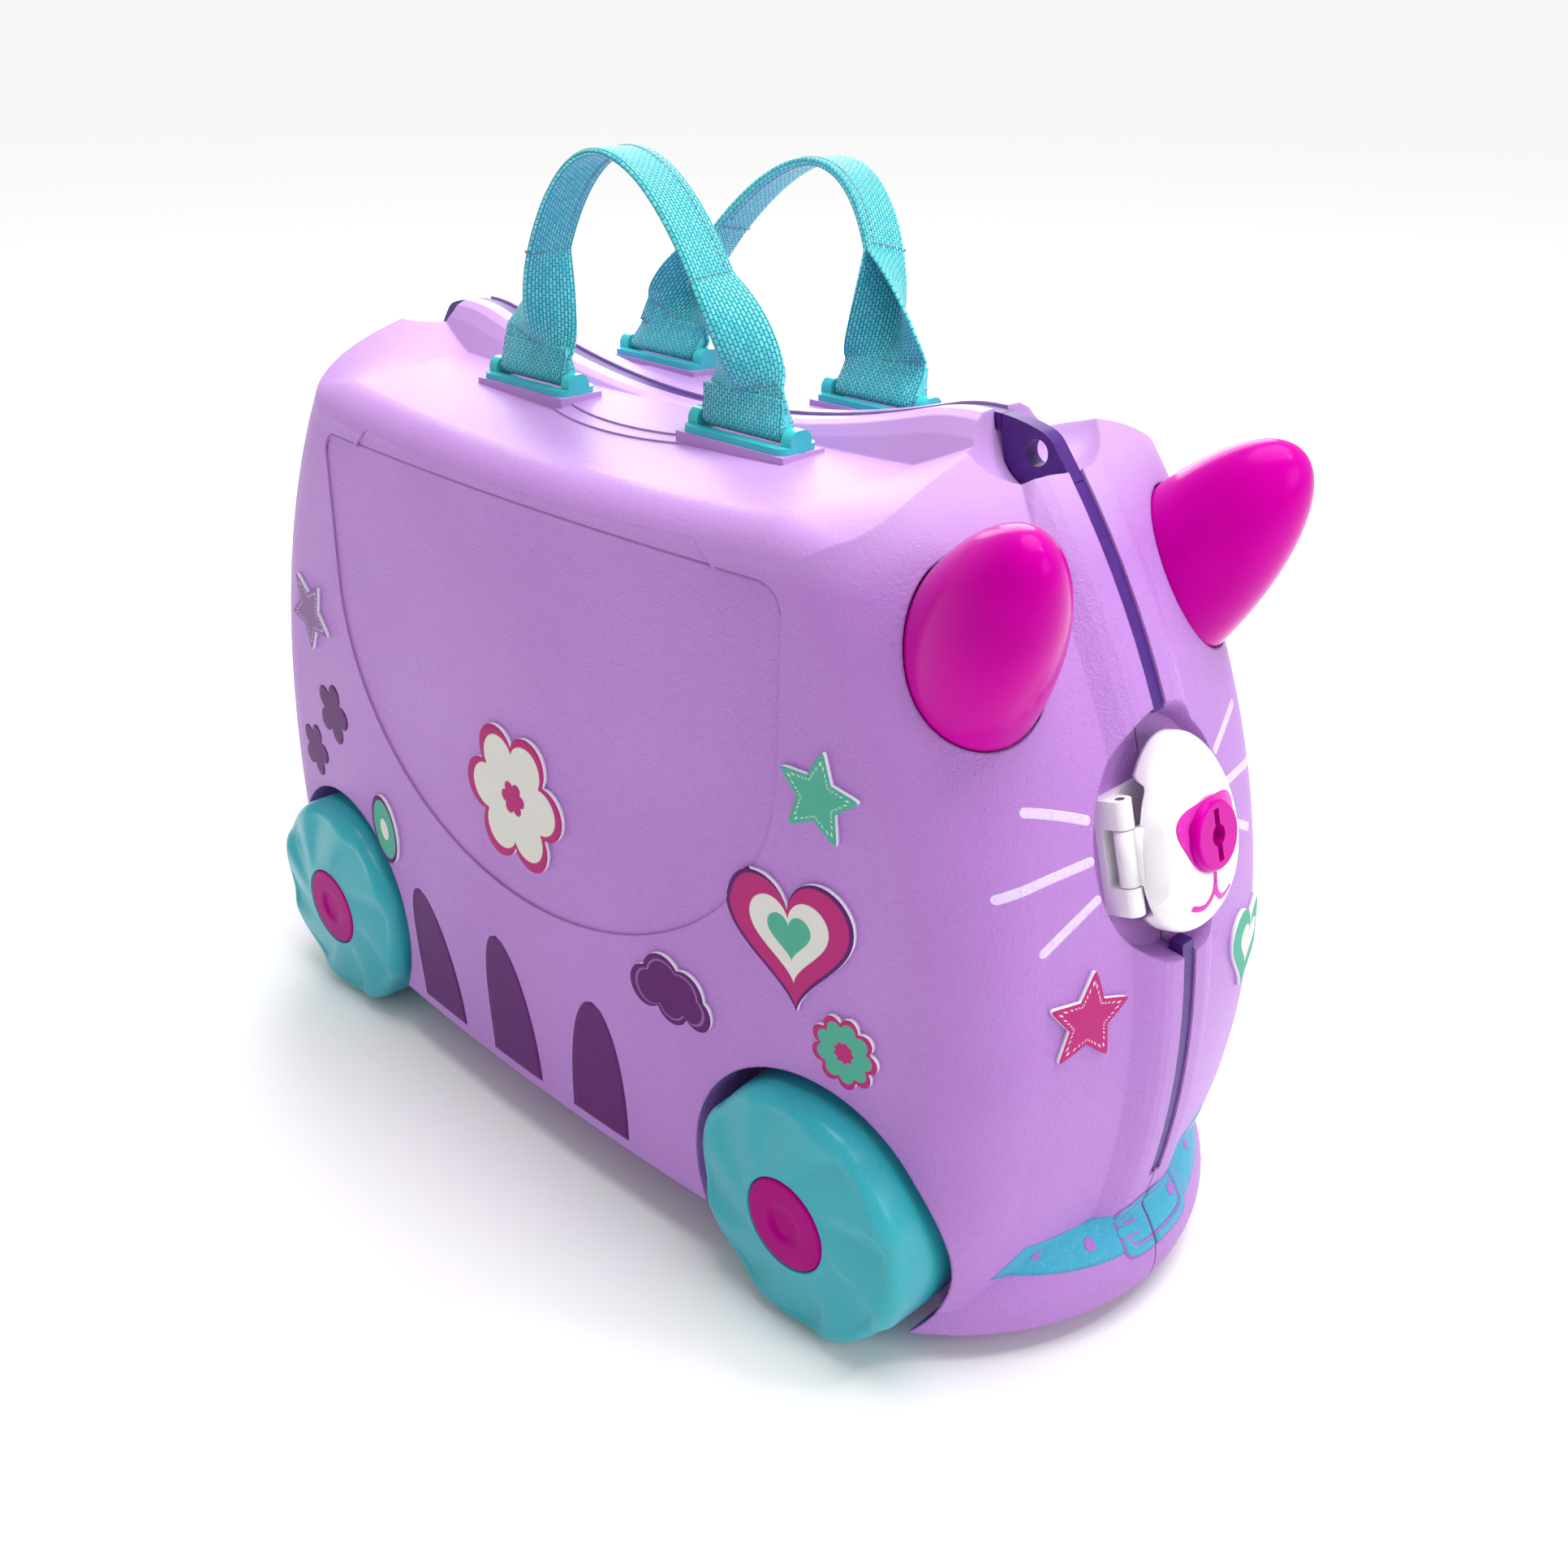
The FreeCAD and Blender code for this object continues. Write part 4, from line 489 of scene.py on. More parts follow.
def horn_surface(rows, turns):
    """Half egg: an oval drawn in along the axis by the root of one less the square of the height."""
    yaw, lift = math.radians(HORN_YAW), math.radians(HORN_LIFT)
    along = np.array([math.cos(lift) * math.cos(yaw), -math.cos(lift) * math.sin(yaw), math.sin(lift)])
    breadth = np.array([math.sin(yaw), math.cos(yaw), 0.0])
    depth = np.cross(breadth, along)
    turn = np.linspace(0, math.pi / 2, rows)
    height = np.concatenate(([0.0], HORN_LENGTH * np.sin(turn)))
    reach = np.concatenate(([0.0], np.cos(turn)))
    angle = np.arange(turns) * TAU / turns
    across = HORN_DEPTH * np.cos(angle)[:, None] * depth + HORN_BREADTH * np.sin(angle)[:, None] * breadth
    return HORN_BASE + height[:, None, None] * along + reach[:, None, None] * across


def build_horns():
    """Right grip, and the left one as its mirror image."""
    for side, sign in SIDES:
        points = horn_surface(48, 96) * np.array([1, -sign, 1])
        faces = facing(grid_faces(*points.shape[:2], wrap_columns=True), sign > 0)
        make_piece(side + "_horn_moulding", points, faces, ["magenta"], side + "_half", "magenta_plastic",
                   [side + "_horn"])


# Webbing handles
BAR_X, BAR_Y, BAR_Z = 57.0, 32.0, 287.8
STRAP_HALF, STRAP_THICK = 18.7, 1.2
CUFF_HEIGHT, CUFF_R, CUFF_TAPER, CUFF_OVERHANG = 11.0, 3.7, 1.9, 0.2
STITCH_Z, STITCH_ROW, PINCH = 332.0, 5, 5.0
STITCH_HALF = (0.85, 0.35, STRAP_THICK / 2 + 0.25)
CREASE, CREASE_ROUND = 0.66, 0.5
BAND_END = 0.04
# Rise of each handle, its lean away from the seam and its slide to the front
HANDLES = {"right": (80.0, 4.0, -0.6), "left": (72.0, 22.0, 9.0)}


def handle_path(side, sign, turn):
    """Half ellipse of a handle, pinched and slid aside: points, headings, and the ways across and level."""
    rise, lean, slide = HANDLES[side]
    c, s = np.cos(turn), np.sin(turn)
    point = np.stack((BAR_X * c + slide * s - PINCH * np.sin(2 * turn), sign * (BAR_Y + lean * s),
                      BAR_Z + rise * s), -1)
    heading = np.stack((slide * c - BAR_X * s - 2 * PINCH * np.cos(2 * turn), sign * lean * c, rise * c), -1)
    heading = unit(heading)
    across = unit(np.cross([0.0, 1.0, 0.0], heading))
    return point, heading, across, np.cross(heading, across)


def fold_angle(height):
    """Angle of each half of the band to the fold's plane: its width falls evenly from cuff to stitches."""
    share = np.clip((height - BAR_Z - CUFF_HEIGHT) / (STITCH_Z - BAR_Z - CUFF_HEIGHT), 0, 1)
    return np.arcsin(1 - share ** 1.25)


def band_section(share, angle):
    """Across and level offsets of the band's middle line: two halves that close about a soft crease."""
    width = share * STRAP_HALF
    shut = np.cos(angle)
    across = width * np.sin(angle) + CREASE * shut * np.tanh(width)
    level = shut * (np.sqrt(width ** 2 + CREASE_ROUND) - STRAP_HALF / 2)
    return across, level


def strap_surface(side, sign, rows, columns):
    """Folded band carried along the handle's path and given a thickness.

    Returns its points, their place along and across the band for the weave, and the band's middle sheet.
    """
    turn = np.linspace(BAND_END, math.pi - BAND_END, rows)
    point, _, across, level = handle_path(side, sign, turn)
    share = np.linspace(-1, 1, columns)
    angle = fold_angle(point[:, 2])[:, None]
    a, b = band_section(share[None, :], angle)
    middle = point[:, None] + a[..., None] * across[:, None] + sign * -b[..., None] * level[:, None]
    normal = unit(np.cross(np.gradient(middle, axis=0), np.gradient(middle, axis=1)))
    weave = np.stack(np.broadcast_arrays(run_length(point)[:, None], share[None, :] * STRAP_HALF), -1) * MM
    outer, inner = middle + normal * STRAP_THICK / 2, (middle - normal * STRAP_THICK / 2)[:, ::-1]
    return np.concatenate((outer, inner), 1), np.concatenate((weave, weave[:, ::-1]), 1), middle


def cuff_surface(side, sign, way, columns):
    """Sewn end round the bar: a drop-shaped loop carried along the bar, thinner towards its stitched top."""
    turn = 0.0 if way > 0 else math.pi
    point, heading = handle_path(side, sign, np.array([turn]))[:2]
    up = heading[0] * way
    angle = np.linspace(0, TAU, columns, endpoint=False)
    c, s = np.cos(angle), np.sin(angle)
    lift = np.where(s > 0, CUFF_HEIGHT * np.abs(s) ** 0.8, CUFF_R * s)
    thick = CUFF_R - CUFF_TAPER * smooth_step(lift, 0.0, CUFF_HEIGHT * 0.8)
    half = thick * np.sign(c) * np.abs(c) ** np.where(s > 0, 0.35, 1.0)
    ring = lift[:, None] * up + half[:, None] * np.array([0.0, 1.0, 0.0])
    reach = np.array([-1.0, -0.97, -0.5, 0.0, 0.5, 0.97, 1.0]) * (STRAP_HALF + CUFF_OVERHANG)
    swell = np.array([0.0, 1.0, 1.0, 1.0, 1.0, 1.0, 0.0])
    core = ring.mean(0)
    points = point[0] + core + swell[:, None, None] * (ring - core)
    points = points + reach[:, None, None] * np.array([1.0, 0, 0])
    weave = np.stack(np.broadcast_arrays(run_length(ring)[None, :], reach[:, None]), -1) * MM
    return points, weave


def blocks(center, along, over, normal, sizes):
    """Low blocks at the centres, each spanned by its own three directions at half sizes."""
    corner = np.array([[x, y, z] for z in (-1, 1) for x, y in ((-1, -1), (1, -1), (1, 1), (-1, 1))], float)
    offset = corner * np.asarray(sizes, float)
    basis = np.stack((along, over, normal), -2)
    points = center[:, None] + np.einsum("ki,nij->nkj", offset, basis)
    block = np.array([[0, 3, 2, 1], [4, 5, 6, 7], [0, 1, 5, 4], [1, 2, 6, 5], [2, 3, 7, 6], [3, 0, 4, 7]])
    faces = (np.arange(len(center))[:, None, None] * 8 + block).reshape(-1, 4)
    return points, faces


def build_stitches(side, middle):
    """Thread dashes: rows across the band at the cuffs and the fold's ends, and rows along its open edges."""
    along = unit(np.gradient(middle, axis=0))
    over = unit(np.gradient(middle, axis=1))
    rows, columns = middle.shape[:2]
    height = middle[:, columns // 2, 2]
    first = int(np.argmax(height > STITCH_Z))
    last = rows - 1 - int(np.argmax(height[::-1] > STITCH_Z))
    cuffs = (STITCH_ROW, rows - 1 - STITCH_ROW)
    picks = [(row, column) for row in (first, last) for column in range(2, columns - 2, 2)]
    picks += [(row, column) for row in range(first + 2, last - 1, 2) for column in (2, columns - 3)]
    picks += [(row, column) for row in cuffs for column in range(2, columns - 2, 2)]
    row, column = np.array(picks).T
    cross = np.isin(row, (first, last, *cuffs))[:, None]
    run = np.where(cross, over[row, column], along[row, column])
    aside = np.where(cross, along[row, column], over[row, column])
    points, faces = blocks(middle[row, column], run, aside, np.cross(run, aside), STITCH_HALF)
    make_piece(side + "_handle_stitches", points, faces, ["thread"], side + "_handle", "webbing")


def build_handles():
    """Both webbing handles: band, stitches and the cuffs at the bars."""
    for side, sign in SIDES:
        points, weave, middle = strap_surface(side, sign, 150, 25)
        points, weave = closed_ends(points), closed_ends(weave)
        faces = grid_faces(*points.shape[:2], wrap_columns=True)
        make_piece(side + "_handle_band", points, faces, ["webbing"], side + "_handle", "webbing",
                   [side + "_handle"], ("weave", weave))
        build_stitches(side, middle)
        for end, way in ENDS:
            points, weave = cuff_surface(side, sign, way, 64)
            faces = facing(grid_faces(*points.shape[:2], wrap_columns=True), False)
            make_piece("%s_handle_%s_cuff" % (side, end), points, faces, ["webbing"], side + "_handle",
                       "webbing", (), ("weave", weave))


# Clasps
CLASP_ORIGIN = np.array([211.18, 0.0, 182.97])
CLASP_OUT = np.array([0.96625, 0.0, 0.25763])
CLASP_UP = np.array([-0.25763, 0.0, 0.96625])
COVER_SHIFT, COVER_HALF_WIDTH, COVER_HALF_HEIGHT, EGG = 2.0, 24.0, 32.0, 0.15
COVER_TOP, COVER_EDGE, COVER_RIM, COVER_WALL = 12.6, 2.0, -2.4, 2.2
LOCK_SEAT_R, LOCK_SEAT_Z, LOCK_HOLE_R = 11.5, 10.5, 4.3
WINDOW_UP, WINDOW_ACROSS, WINDOW_LIFT, WINDOW_RIM = (19.5, 22.5), (-16.0, -10.0), 1.3, 1.2
COVER_WALL_ROWS, COVER_MEAN_R = 4, 27.0
TAB_CENTER, TAB_R, TAB_LOW, TAB_HIGH, TAB_TIP = -45.0, 30.4, -18.6, 16.4, 0.4
TAB_EDGE, TAB_RIDGE, TAB_FOOT, TAB_FULL = 0.7, 1.9, 0.8, 5.0
PIN_X, PIN_Z, PIN_HOLE, KNUCKLE_R, KNUCKLE_HALF = -22.5, -1.0, 1.56, 3.3, 8.9
WEB_PLACE, WEB_HALF = (PIN_X + 2.6, 0.0, PIN_Z + 3.7), (2.4, KNUCKLE_HALF, 1.6)
NOSE_WIDE, NOSE_TALL, NOSE_CORNER, NOSE_RING = (12.4, 4.6), (11.6, 4.2), 0.5, 0.7
PRINT_OVER, PRINT_UNDER = 0.14, 0.3
MOUTH_STEM, MOUTH_STEM_HALF, MOUTH_HALF = (-10.5, -17.0), 0.85, 0.95
MOUTH_SIDE = ((0, -14.6), (0, -17.0), (1.2, -20.0), (5.5, -23.4), (10.8, -20.6))


def on_clasp(local, front):
    """Carry points of a clasp's frame, across the seam, up and out of the wall, to the case."""
    across, up, out = np.moveaxis(np.asarray(local, float), -1, 0)
    points = CLASP_ORIGIN + across[..., None] * np.array([0.0, 1, 0]) + up[..., None] * CLASP_UP
    points = points + out[..., None] * CLASP_OUT
    return points if front else points * np.array([-1, -1, 1])


def egg_outline(turn):
    """Egg: a sine by a cosine, with the sine's reach growing towards the foot."""
    return COVER_HALF_WIDTH * np.sin(turn) * (1 - EGG * np.cos(turn)), COVER_HALF_HEIGHT * np.cos(turn)


def hinge_window(x, y):
    """1 beside the hinge lugs, where the cover's edge lifts over them, and 0 elsewhere."""
    return (1 - smooth_step(np.abs(y), *WINDOW_UP)) * (1 - smooth_step(x, *WINDOW_ACROSS))


def cover_height(x, y):
    """Dome over the egg: the root of one less the cube of the share of the way to the edge.

    The share depends on the way it points, so it is found by a few rounds of trial.
    """
    q = y / COVER_HALF_HEIGHT
    lean = np.zeros_like(q)
    for _ in range(8):
        p = x / (COVER_HALF_WIDTH * (1 - EGG * lean))
        reach = np.maximum(np.hypot(p, q), 1e-6)
        lean = np.clip(q / reach, -1, 1)
    edge = COVER_EDGE + WINDOW_LIFT * hinge_window(x, y)
    return edge + (COVER_TOP - edge) * np.sqrt(np.clip(1 - reach ** 3, 0, 1))


def cover_surface(with_lock, columns):
    """Hollow cover: rings from the lock's hole or middle out to the egg, down the wall and back inside."""
    turn = np.linspace(0, TAU, columns, endpoint=False)
    ex, ey = egg_outline(turn)
    start = LOCK_SEAT_R if with_lock else 0.0
    share = 1 - (1 - np.linspace(0, 1, 26)) ** 1.8
    x = (1 - share[:, None]) * start * np.sin(turn) + share[:, None] * ex
    y = (1 - share[:, None]) * start * np.cos(turn) + share[:, None] * ey
    z = cover_height(x, y)
    if with_lock:
        seat = np.array([LOCK_HOLE_R, LOCK_SEAT_R - 0.05])[:, None]
        x = np.concatenate((seat * np.sin(turn), x))
        y = np.concatenate((seat * np.cos(turn), y))
        z = np.concatenate((np.full((2, columns), LOCK_SEAT_Z), z))
    rim = COVER_RIM + (COVER_EDGE + WINDOW_RIM - COVER_RIM) * hinge_window(ex, ey)
    wall = np.linspace(z[-1] - 0.2, np.minimum(rim, z[-1] - 0.2), COVER_WALL_ROWS)
    shrink = 1 - COVER_WALL / COVER_MEAN_R
    inside = np.maximum(z - COVER_WALL, np.minimum(rim, z[-1] - 0.4))
    x = np.concatenate((x, np.repeat(ex[None], COVER_WALL_ROWS, 0), x[::-1] * shrink))
    y = np.concatenate((y, np.repeat(ey[None], COVER_WALL_ROWS, 0), y[::-1] * shrink))
    z = np.concatenate((z, wall, inside[::-1]))
    return np.stack((x + COVER_SHIFT, y, z), -1)


def tab_surface(rows, columns):
    """Crescent finger tab between the egg's edge and an arc: a step up from the dome, a ridge and a fall."""
    up = (TAB_LOW + TAB_HIGH) / 2 - (TAB_HIGH - TAB_LOW) / 2 * np.cos(np.linspace(0, math.pi, rows))
    turn = np.arccos(np.clip(up / COVER_HALF_HEIGHT, -1, 1))
    edge = -egg_outline(turn)[0]
    arc = np.maximum(TAB_CENTER + np.sqrt(TAB_R ** 2 - up ** 2) - COVER_SHIFT, edge + TAB_TIP)
    share = (1 - np.cos(np.linspace(0, math.pi, columns))) / 2
    x = edge[:, None] + 0.02 + (arc - edge)[:, None] * share
    y = np.repeat(up[:, None], columns, 1)
    base = cover_height(x, y)
    full = smooth_step(arc - edge, 0.0, TAB_FULL)[:, None]
    ridge = np.clip(1 - np.sqrt((1.9 * (share - 0.5)) ** 2 + 0.004), 0, 1)
    step = np.clip((1 - share) / 0.03, 0, 1) ** 0.5
    top = np.stack((x + COVER_SHIFT, y, base + full * (TAB_EDGE + TAB_RIDGE * ridge) * step - 0.05), -1)
    under = np.stack((x + COVER_SHIFT + 0.5 * full * (1 - share), y, base - TAB_FOOT), -1)[:, ::-1]
    return np.concatenate((top, under), 1)


def knuckle_surface(turns):
    """Hinge tube of the cover about its pin, with a web up to the cover's edge."""
    profile = [(PIN_HOLE, -KNUCKLE_HALF), (KNUCKLE_R, -KNUCKLE_HALF), (KNUCKLE_R, KNUCKLE_HALF),
               (PIN_HOLE, KNUCKLE_HALF)]
    u, v, along = turned_surface(profile, turns)
    tube = np.stack((PIN_X + u, along, PIN_Z + v), -1).reshape(-1, 3)
    faces = grid_faces(4, turns, wrap_rows=True, wrap_columns=True)
    axes = np.eye(3)[:, None]
    web, sides = blocks(np.array([WEB_PLACE]), *axes, WEB_HALF)
    return np.concatenate((tube, web.reshape(-1, 3))), np.concatenate((faces, sides + len(tube)))


def stroke(path, half_width, columns=7, rows=64):
    """Flat stroke with round ends: a path's points moved aside by a width that falls away at both ends."""
    path = np.asarray(path, float)
    length = run_length(path)
    t = (1 - np.cos(np.linspace(0, math.pi, rows))) / 2 * length[-1]
    line = np.stack([np.interp(t, length, way) for way in path.T], -1)
    aim = unit(np.gradient(line, axis=0))
    end = np.clip(np.minimum(t, length[-1] - t) / half_width, 0, 1)
    width = half_width * np.sqrt(np.clip(1 - (1 - end) ** 2, 0.0004, 1))
    share = np.linspace(-1, 1, columns)
    aside = np.stack((-aim[:, 1], aim[:, 0]), -1)
    points = line[:, None] + share[None, :, None] * width[:, None, None] * aside[:, None]
    return points, facing(grid_faces(rows, columns), False)


def bend(start, end, sag, count=24):
    """Points of a shallow arc between two points, bowed aside by the sag."""
    t = np.linspace(0, 1, count)[:, None]
    start, end = np.asarray(start, float), np.asarray(end, float)
    way = end - start
    aside = np.array([-way[1], way[0]]) / np.hypot(*way)
    return start + way * t + aside * sag * 4 * t * (1 - t)


def smooth_path(corners, count=60):
    """Quadratic spline that runs near the corners and through the first and last of them."""
    corners = np.asarray(corners, float)
    middle = (corners[1:-2] + corners[2:-1]) / 2
    starts = np.concatenate((corners[:1], middle))
    ends = np.concatenate((middle, corners[-1:]))
    t = np.linspace(0, 1, count // len(starts))[:, None]
    return np.concatenate([(1 - t) ** 2 * a + 2 * t * (1 - t) * b + t ** 2 * c
                           for a, b, c in zip(starts, corners[1:-1], ends)])


def nose_outline(turn):
    """Rounded triangle: a ring with two wide swells at its upper corners."""
    corners = math.radians(30), math.radians(150)
    swell = sum(np.exp(-((turn - corner) / NOSE_CORNER) ** 2) for corner in corners)
    wide = NOSE_WIDE[0] + NOSE_WIDE[1] * swell
    tall = NOSE_TALL[0] + NOSE_TALL[1] * swell
    return wide * np.cos(turn), tall * np.sin(turn)


def clasp_print(name, flat, ring=False):
    """Print on the front cover: a flat grid raised onto the dome, closed by a second layer under it."""
    x, y = flat[..., 0], flat[..., 1]
    z = cover_height(x - COVER_SHIFT, y)
    over = np.stack((x, y, z + PRINT_OVER), -1)
    under = np.stack((x, y, z - PRINT_UNDER), -1)
    if ring:
        points = np.concatenate((over, under[::-1]), 0)
        faces = grid_faces(*points.shape[:2], wrap_rows=True, wrap_columns=True)
    else:
        points = closed_ends(np.concatenate((over, under[:, ::-1]), 1))
        faces = grid_faces(*points.shape[:2], wrap_columns=True)
    make_piece(name, on_clasp(points, True), faces, ["nose_ink"], "front_clasp", "magenta_plastic")


def build_clasps():
    """Covers, knuckles and tabs at both ends, and the front cover's nose patch and mouth."""
    for end, way in ENDS:
        front = way > 0
        white = (["white"], end + "_clasp", "clasp_plastic")
        points = on_clasp(cover_surface(front, 120), front)
        faces = grid_faces(*points.shape[:2], wrap_rows=front, wrap_columns=True)
        make_piece(end + "_clasp_dome", points, facing(faces, False), *white, [end + "_clasp_cover"])
        points, faces = knuckle_surface(40)
        make_piece(end + "_clasp_knuckle", on_clasp(points, front), faces, *white)
        points = on_clasp(closed_ends(tab_surface(48, 25)), front)
        faces = grid_faces(*points.shape[:2], wrap_columns=True)
        make_piece(end + "_clasp_finger_tab", points, facing(faces, False), *white, [end + "_clasp_tab"])
    px, py = nose_outline(np.linspace(0, TAU, 90, endpoint=False))
    share = np.linspace(NOSE_RING, 1.0, 7)[:, None]
    clasp_print("nose_patch", np.stack((COVER_SHIFT + share * px, share * py), -1), True)
    clasp_print("mouth_stem", stroke([(COVER_SHIFT, height) for height in MOUTH_STEM], MOUTH_STEM_HALF)[0])
    for name, way in (("near", -1), ("far", 1)):
        path = smooth_path(np.array(MOUTH_SIDE) * np.array([way, 1]) + np.array([COVER_SHIFT, 0]))
        clasp_print("mouth_%s_side" % name, stroke(path, MOUTH_HALF)[0])


# Prints and stickers on the shells
FRONT, RIGHT, LEFT = "front", "right", "left"
REACH = 300.0
INK_THICK, THIN_INK, FOAM_THICK, INK_LIFT = 0.12, 0.1, 1.7, 0.02


def lay_on(name, flat, faces, wall, side, lift, thick, finishes, uv=None):
    """Flat figure laid on a shell.

    Its two coordinates are across and up the wall it faces. It starts outside, is projected straight onto the
    shell, gets its thickness outwards and is lifted by a hair.
    """
    u, v = flat[..., 0].ravel(), flat[..., 1].ravel()
    out = np.full_like(u, REACH)
    sign = 1 if side == LEFT else -1
    points = np.stack((out, u, v), -1) if wall == FRONT else np.stack((u, sign * out, v), -1)
    mesh = make_mesh(name, points, facing(faces, wall == FRONT or side == RIGHT), finishes, uv)
    draft = bpy.data.objects.new(name + "_draft", mesh)
    bpy.context.scene.collection.objects.link(draft)
    wrap = draft.modifiers.new("wrap", "SHRINKWRAP")
    wrap.target = NODES[side + "_shell"]
    wrap.wrap_method = "PROJECT"
    wrap.use_project_x = wall == FRONT
    wrap.use_project_y = wall != FRONT
    wrap.use_negative_direction = wall == FRONT or side == LEFT
    wrap.use_positive_direction = not wrap.use_negative_direction
    body = draft.modifiers.new("body", "SOLIDIFY")
    body.thickness = thick * MM
    body.offset = 1.0
    body.use_rim = True
    body.material_offset_rim = len(finishes) - 1
    bpy.context.view_layer.update()
    depsgraph = bpy.context.evaluated_depsgraph_get()
    laid = bpy.data.meshes.new_from_object(draft.evaluated_get(depsgraph), preserve_all_data_layers=True,
                                           depsgraph=depsgraph)
    laid.name = name
    bpy.data.objects.remove(draft)
    place = np.zeros(len(laid.vertices) * 3, np.float32)
    laid.vertices.foreach_get("co", place)
    place[0 if wall == FRONT else 1::3] += lift * MM * (1 if wall == FRONT else sign)
    laid.vertices.foreach_set("co", place)
    laid.update()
    settle(name, laid, side + "_half")


def disc_grid(outline, rows):
    """Figure filled from its middle: the outline drawn in by a share, with that share and the turn as UV."""
    share = np.linspace(0, 1, rows)
    points = share[:, None, None] * outline[None]
    turn = np.linspace(0, 1, len(outline), endpoint=False)
    rim = np.stack(np.broadcast_arrays(share[:, None], turn[None, :]), -1)
    return points, grid_faces(rows, len(outline), wrap_columns=True), rim


def star_outline(radius, turned, count=150):
    """Five-pointed star: straight edges between tips and notches, with the tips taken off round."""
    angle = np.linspace(0, TAU, count, endpoint=False)
    fifth = math.pi / 5
    tip = np.abs((angle + fifth) % (2 * fifth) - fifth)
    notch, blunt, soft = 0.47 * radius, 0.94 * radius, 0.6
    reach = radius * notch * math.sin(fifth) / (radius * np.sin(tip) + notch * np.sin(fifth - tip))
    reach = np.abs(blunt - np.log1p(np.exp((blunt - reach) / soft)) * soft)
    turn = angle + math.radians(turned)
    return np.stack((reach * np.cos(turn), reach * np.sin(turn)), -1)


def evened(outline):
    """Closed outline with its points set at even distances along it."""
    loop = np.concatenate((outline, outline[:1]))
    run = run_length(loop)
    step = np.linspace(0, run[-1], len(outline), endpoint=False)
    return np.stack([np.interp(step, run, way) for way in loop.T], -1)


def heart_outline(half, tilt=0.0, count=120):
    """Heart: a cubed sine across and a sum of cosines up."""
    t = np.linspace(0, TAU, count, endpoint=False)
    x = 16 * np.sin(t) ** 3
    y = 13 * np.cos(t) - 5 * np.cos(2 * t) - 2 * np.cos(3 * t) - np.cos(4 * t)
    turn = math.radians(tilt)
    scale = half / 16
    across = y * math.sin(turn) - x * math.cos(turn)
    up = x * math.sin(turn) + y * math.cos(turn)
    return scale * evened(np.stack((across, up), -1))


def flower_outline(radius, petals, depth, count=160):
    """Flower: a circle whose reach rises and falls once for each petal."""
    turn = np.linspace(0, TAU, count, endpoint=False)
    reach = radius * (1 - depth + depth * np.abs(np.cos(petals * turn / 2)) ** 0.7)
    return np.stack((reach * np.cos(turn), reach * np.sin(turn)), -1)


def cloud_outline(puffs, count=160):
    """Cloud: the furthest reach of several overlapping discs, given as across, up and radius."""
    turn = np.linspace(0, TAU, count, endpoint=False)
    way = np.stack((np.cos(turn), np.sin(turn)), -1)
    x, y, r = np.asarray(puffs, float).T
    along = way[:, :1] * x + way[:, 1:] * y
    aside = way[:, :1] * y - way[:, 1:] * x
    reach = np.where(aside ** 2 < r ** 2, along + np.sqrt(np.maximum(r ** 2 - aside ** 2, 0)), 0)
    return way * reach.max(1)[:, None]


def oval_outline(half_u, half_v, tilt, count=120):
    """Oval turned by a tilt."""
    turn = np.linspace(0, TAU, count, endpoint=False)
    u, v = half_u * np.cos(turn), half_v * np.sin(turn)
    c, s = math.cos(math.radians(tilt)), math.sin(math.radians(tilt))
    return np.stack((u * c - v * s, u * s + v * c), -1)


# Name, place and radius
SMALL_PRINTS = (("rear_upper_bloom", (-146.0, 137.0), 14.0), ("rear_lower_bloom", (-169.0, 112.0), 12.5))
# Name, finish, wall, shell, place across and up that wall, and outline
STICKERS = (
    ("lilac_star_sticker", "lilac_star", RIGHT, RIGHT, (-156.0, 180.0), star_outline(18.5, 50)),
    ("teal_star_sticker", "teal_star", RIGHT, RIGHT, (143.0, 201.0), star_outline(16.5, 84)),
    ("magenta_star_sticker", "magenta_star", FRONT, RIGHT, (-42.0, 136.0), star_outline(17.0, 80)),
    ("flower_sticker", "flower", RIGHT, RIGHT, (-4.0, 150.0), flower_outline(29.0, 6, 0.3)),
    ("big_heart_sticker", "big_heart", RIGHT, RIGHT, (134.0, 151.0), heart_outline(26.0, -8)),
    ("cloud_sticker", "cloud", RIGHT, RIGHT, (80.0, 106.0),
     cloud_outline(((-11, -2, 8), (-3, 4, 9.5), (8, 2, 9), (14, -3, 6.5), (2, -4, 8)))),
    ("oval_sticker", "oval", RIGHT, RIGHT, (-103.0, 99.0), oval_outline(10.0, 15.0, 12.0)),
    ("sun_sticker", "sun", RIGHT, RIGHT, (157.0, 117.0), flower_outline(13.0, 9, 0.22)),
    ("teal_heart_sticker", "teal_heart", FRONT, LEFT, (54.0, 122.0), heart_outline(17.0, 10)),
)
# Start, end and sag of the right whiskers; the left ones mirror them
WHISKERS = (((-57.0, 204.5), (-33.5, 196.2), 0.6), ((-69.4, 180.8), (-34.5, 184.7), 0.8),
            ((-57.7, 161.3), (-33.8, 173.2), 0.5))
WHISKER_HALF = 1.55
# Foot, top and height of each side stripe
STRIPES = ((-65.0, -80.0, 80.0), (-12.0, -23.0, 83.0), (40.0, 37.0, 81.0))
STRIPE_HALF, STRIPE_FOOT = 16.0, 28.5
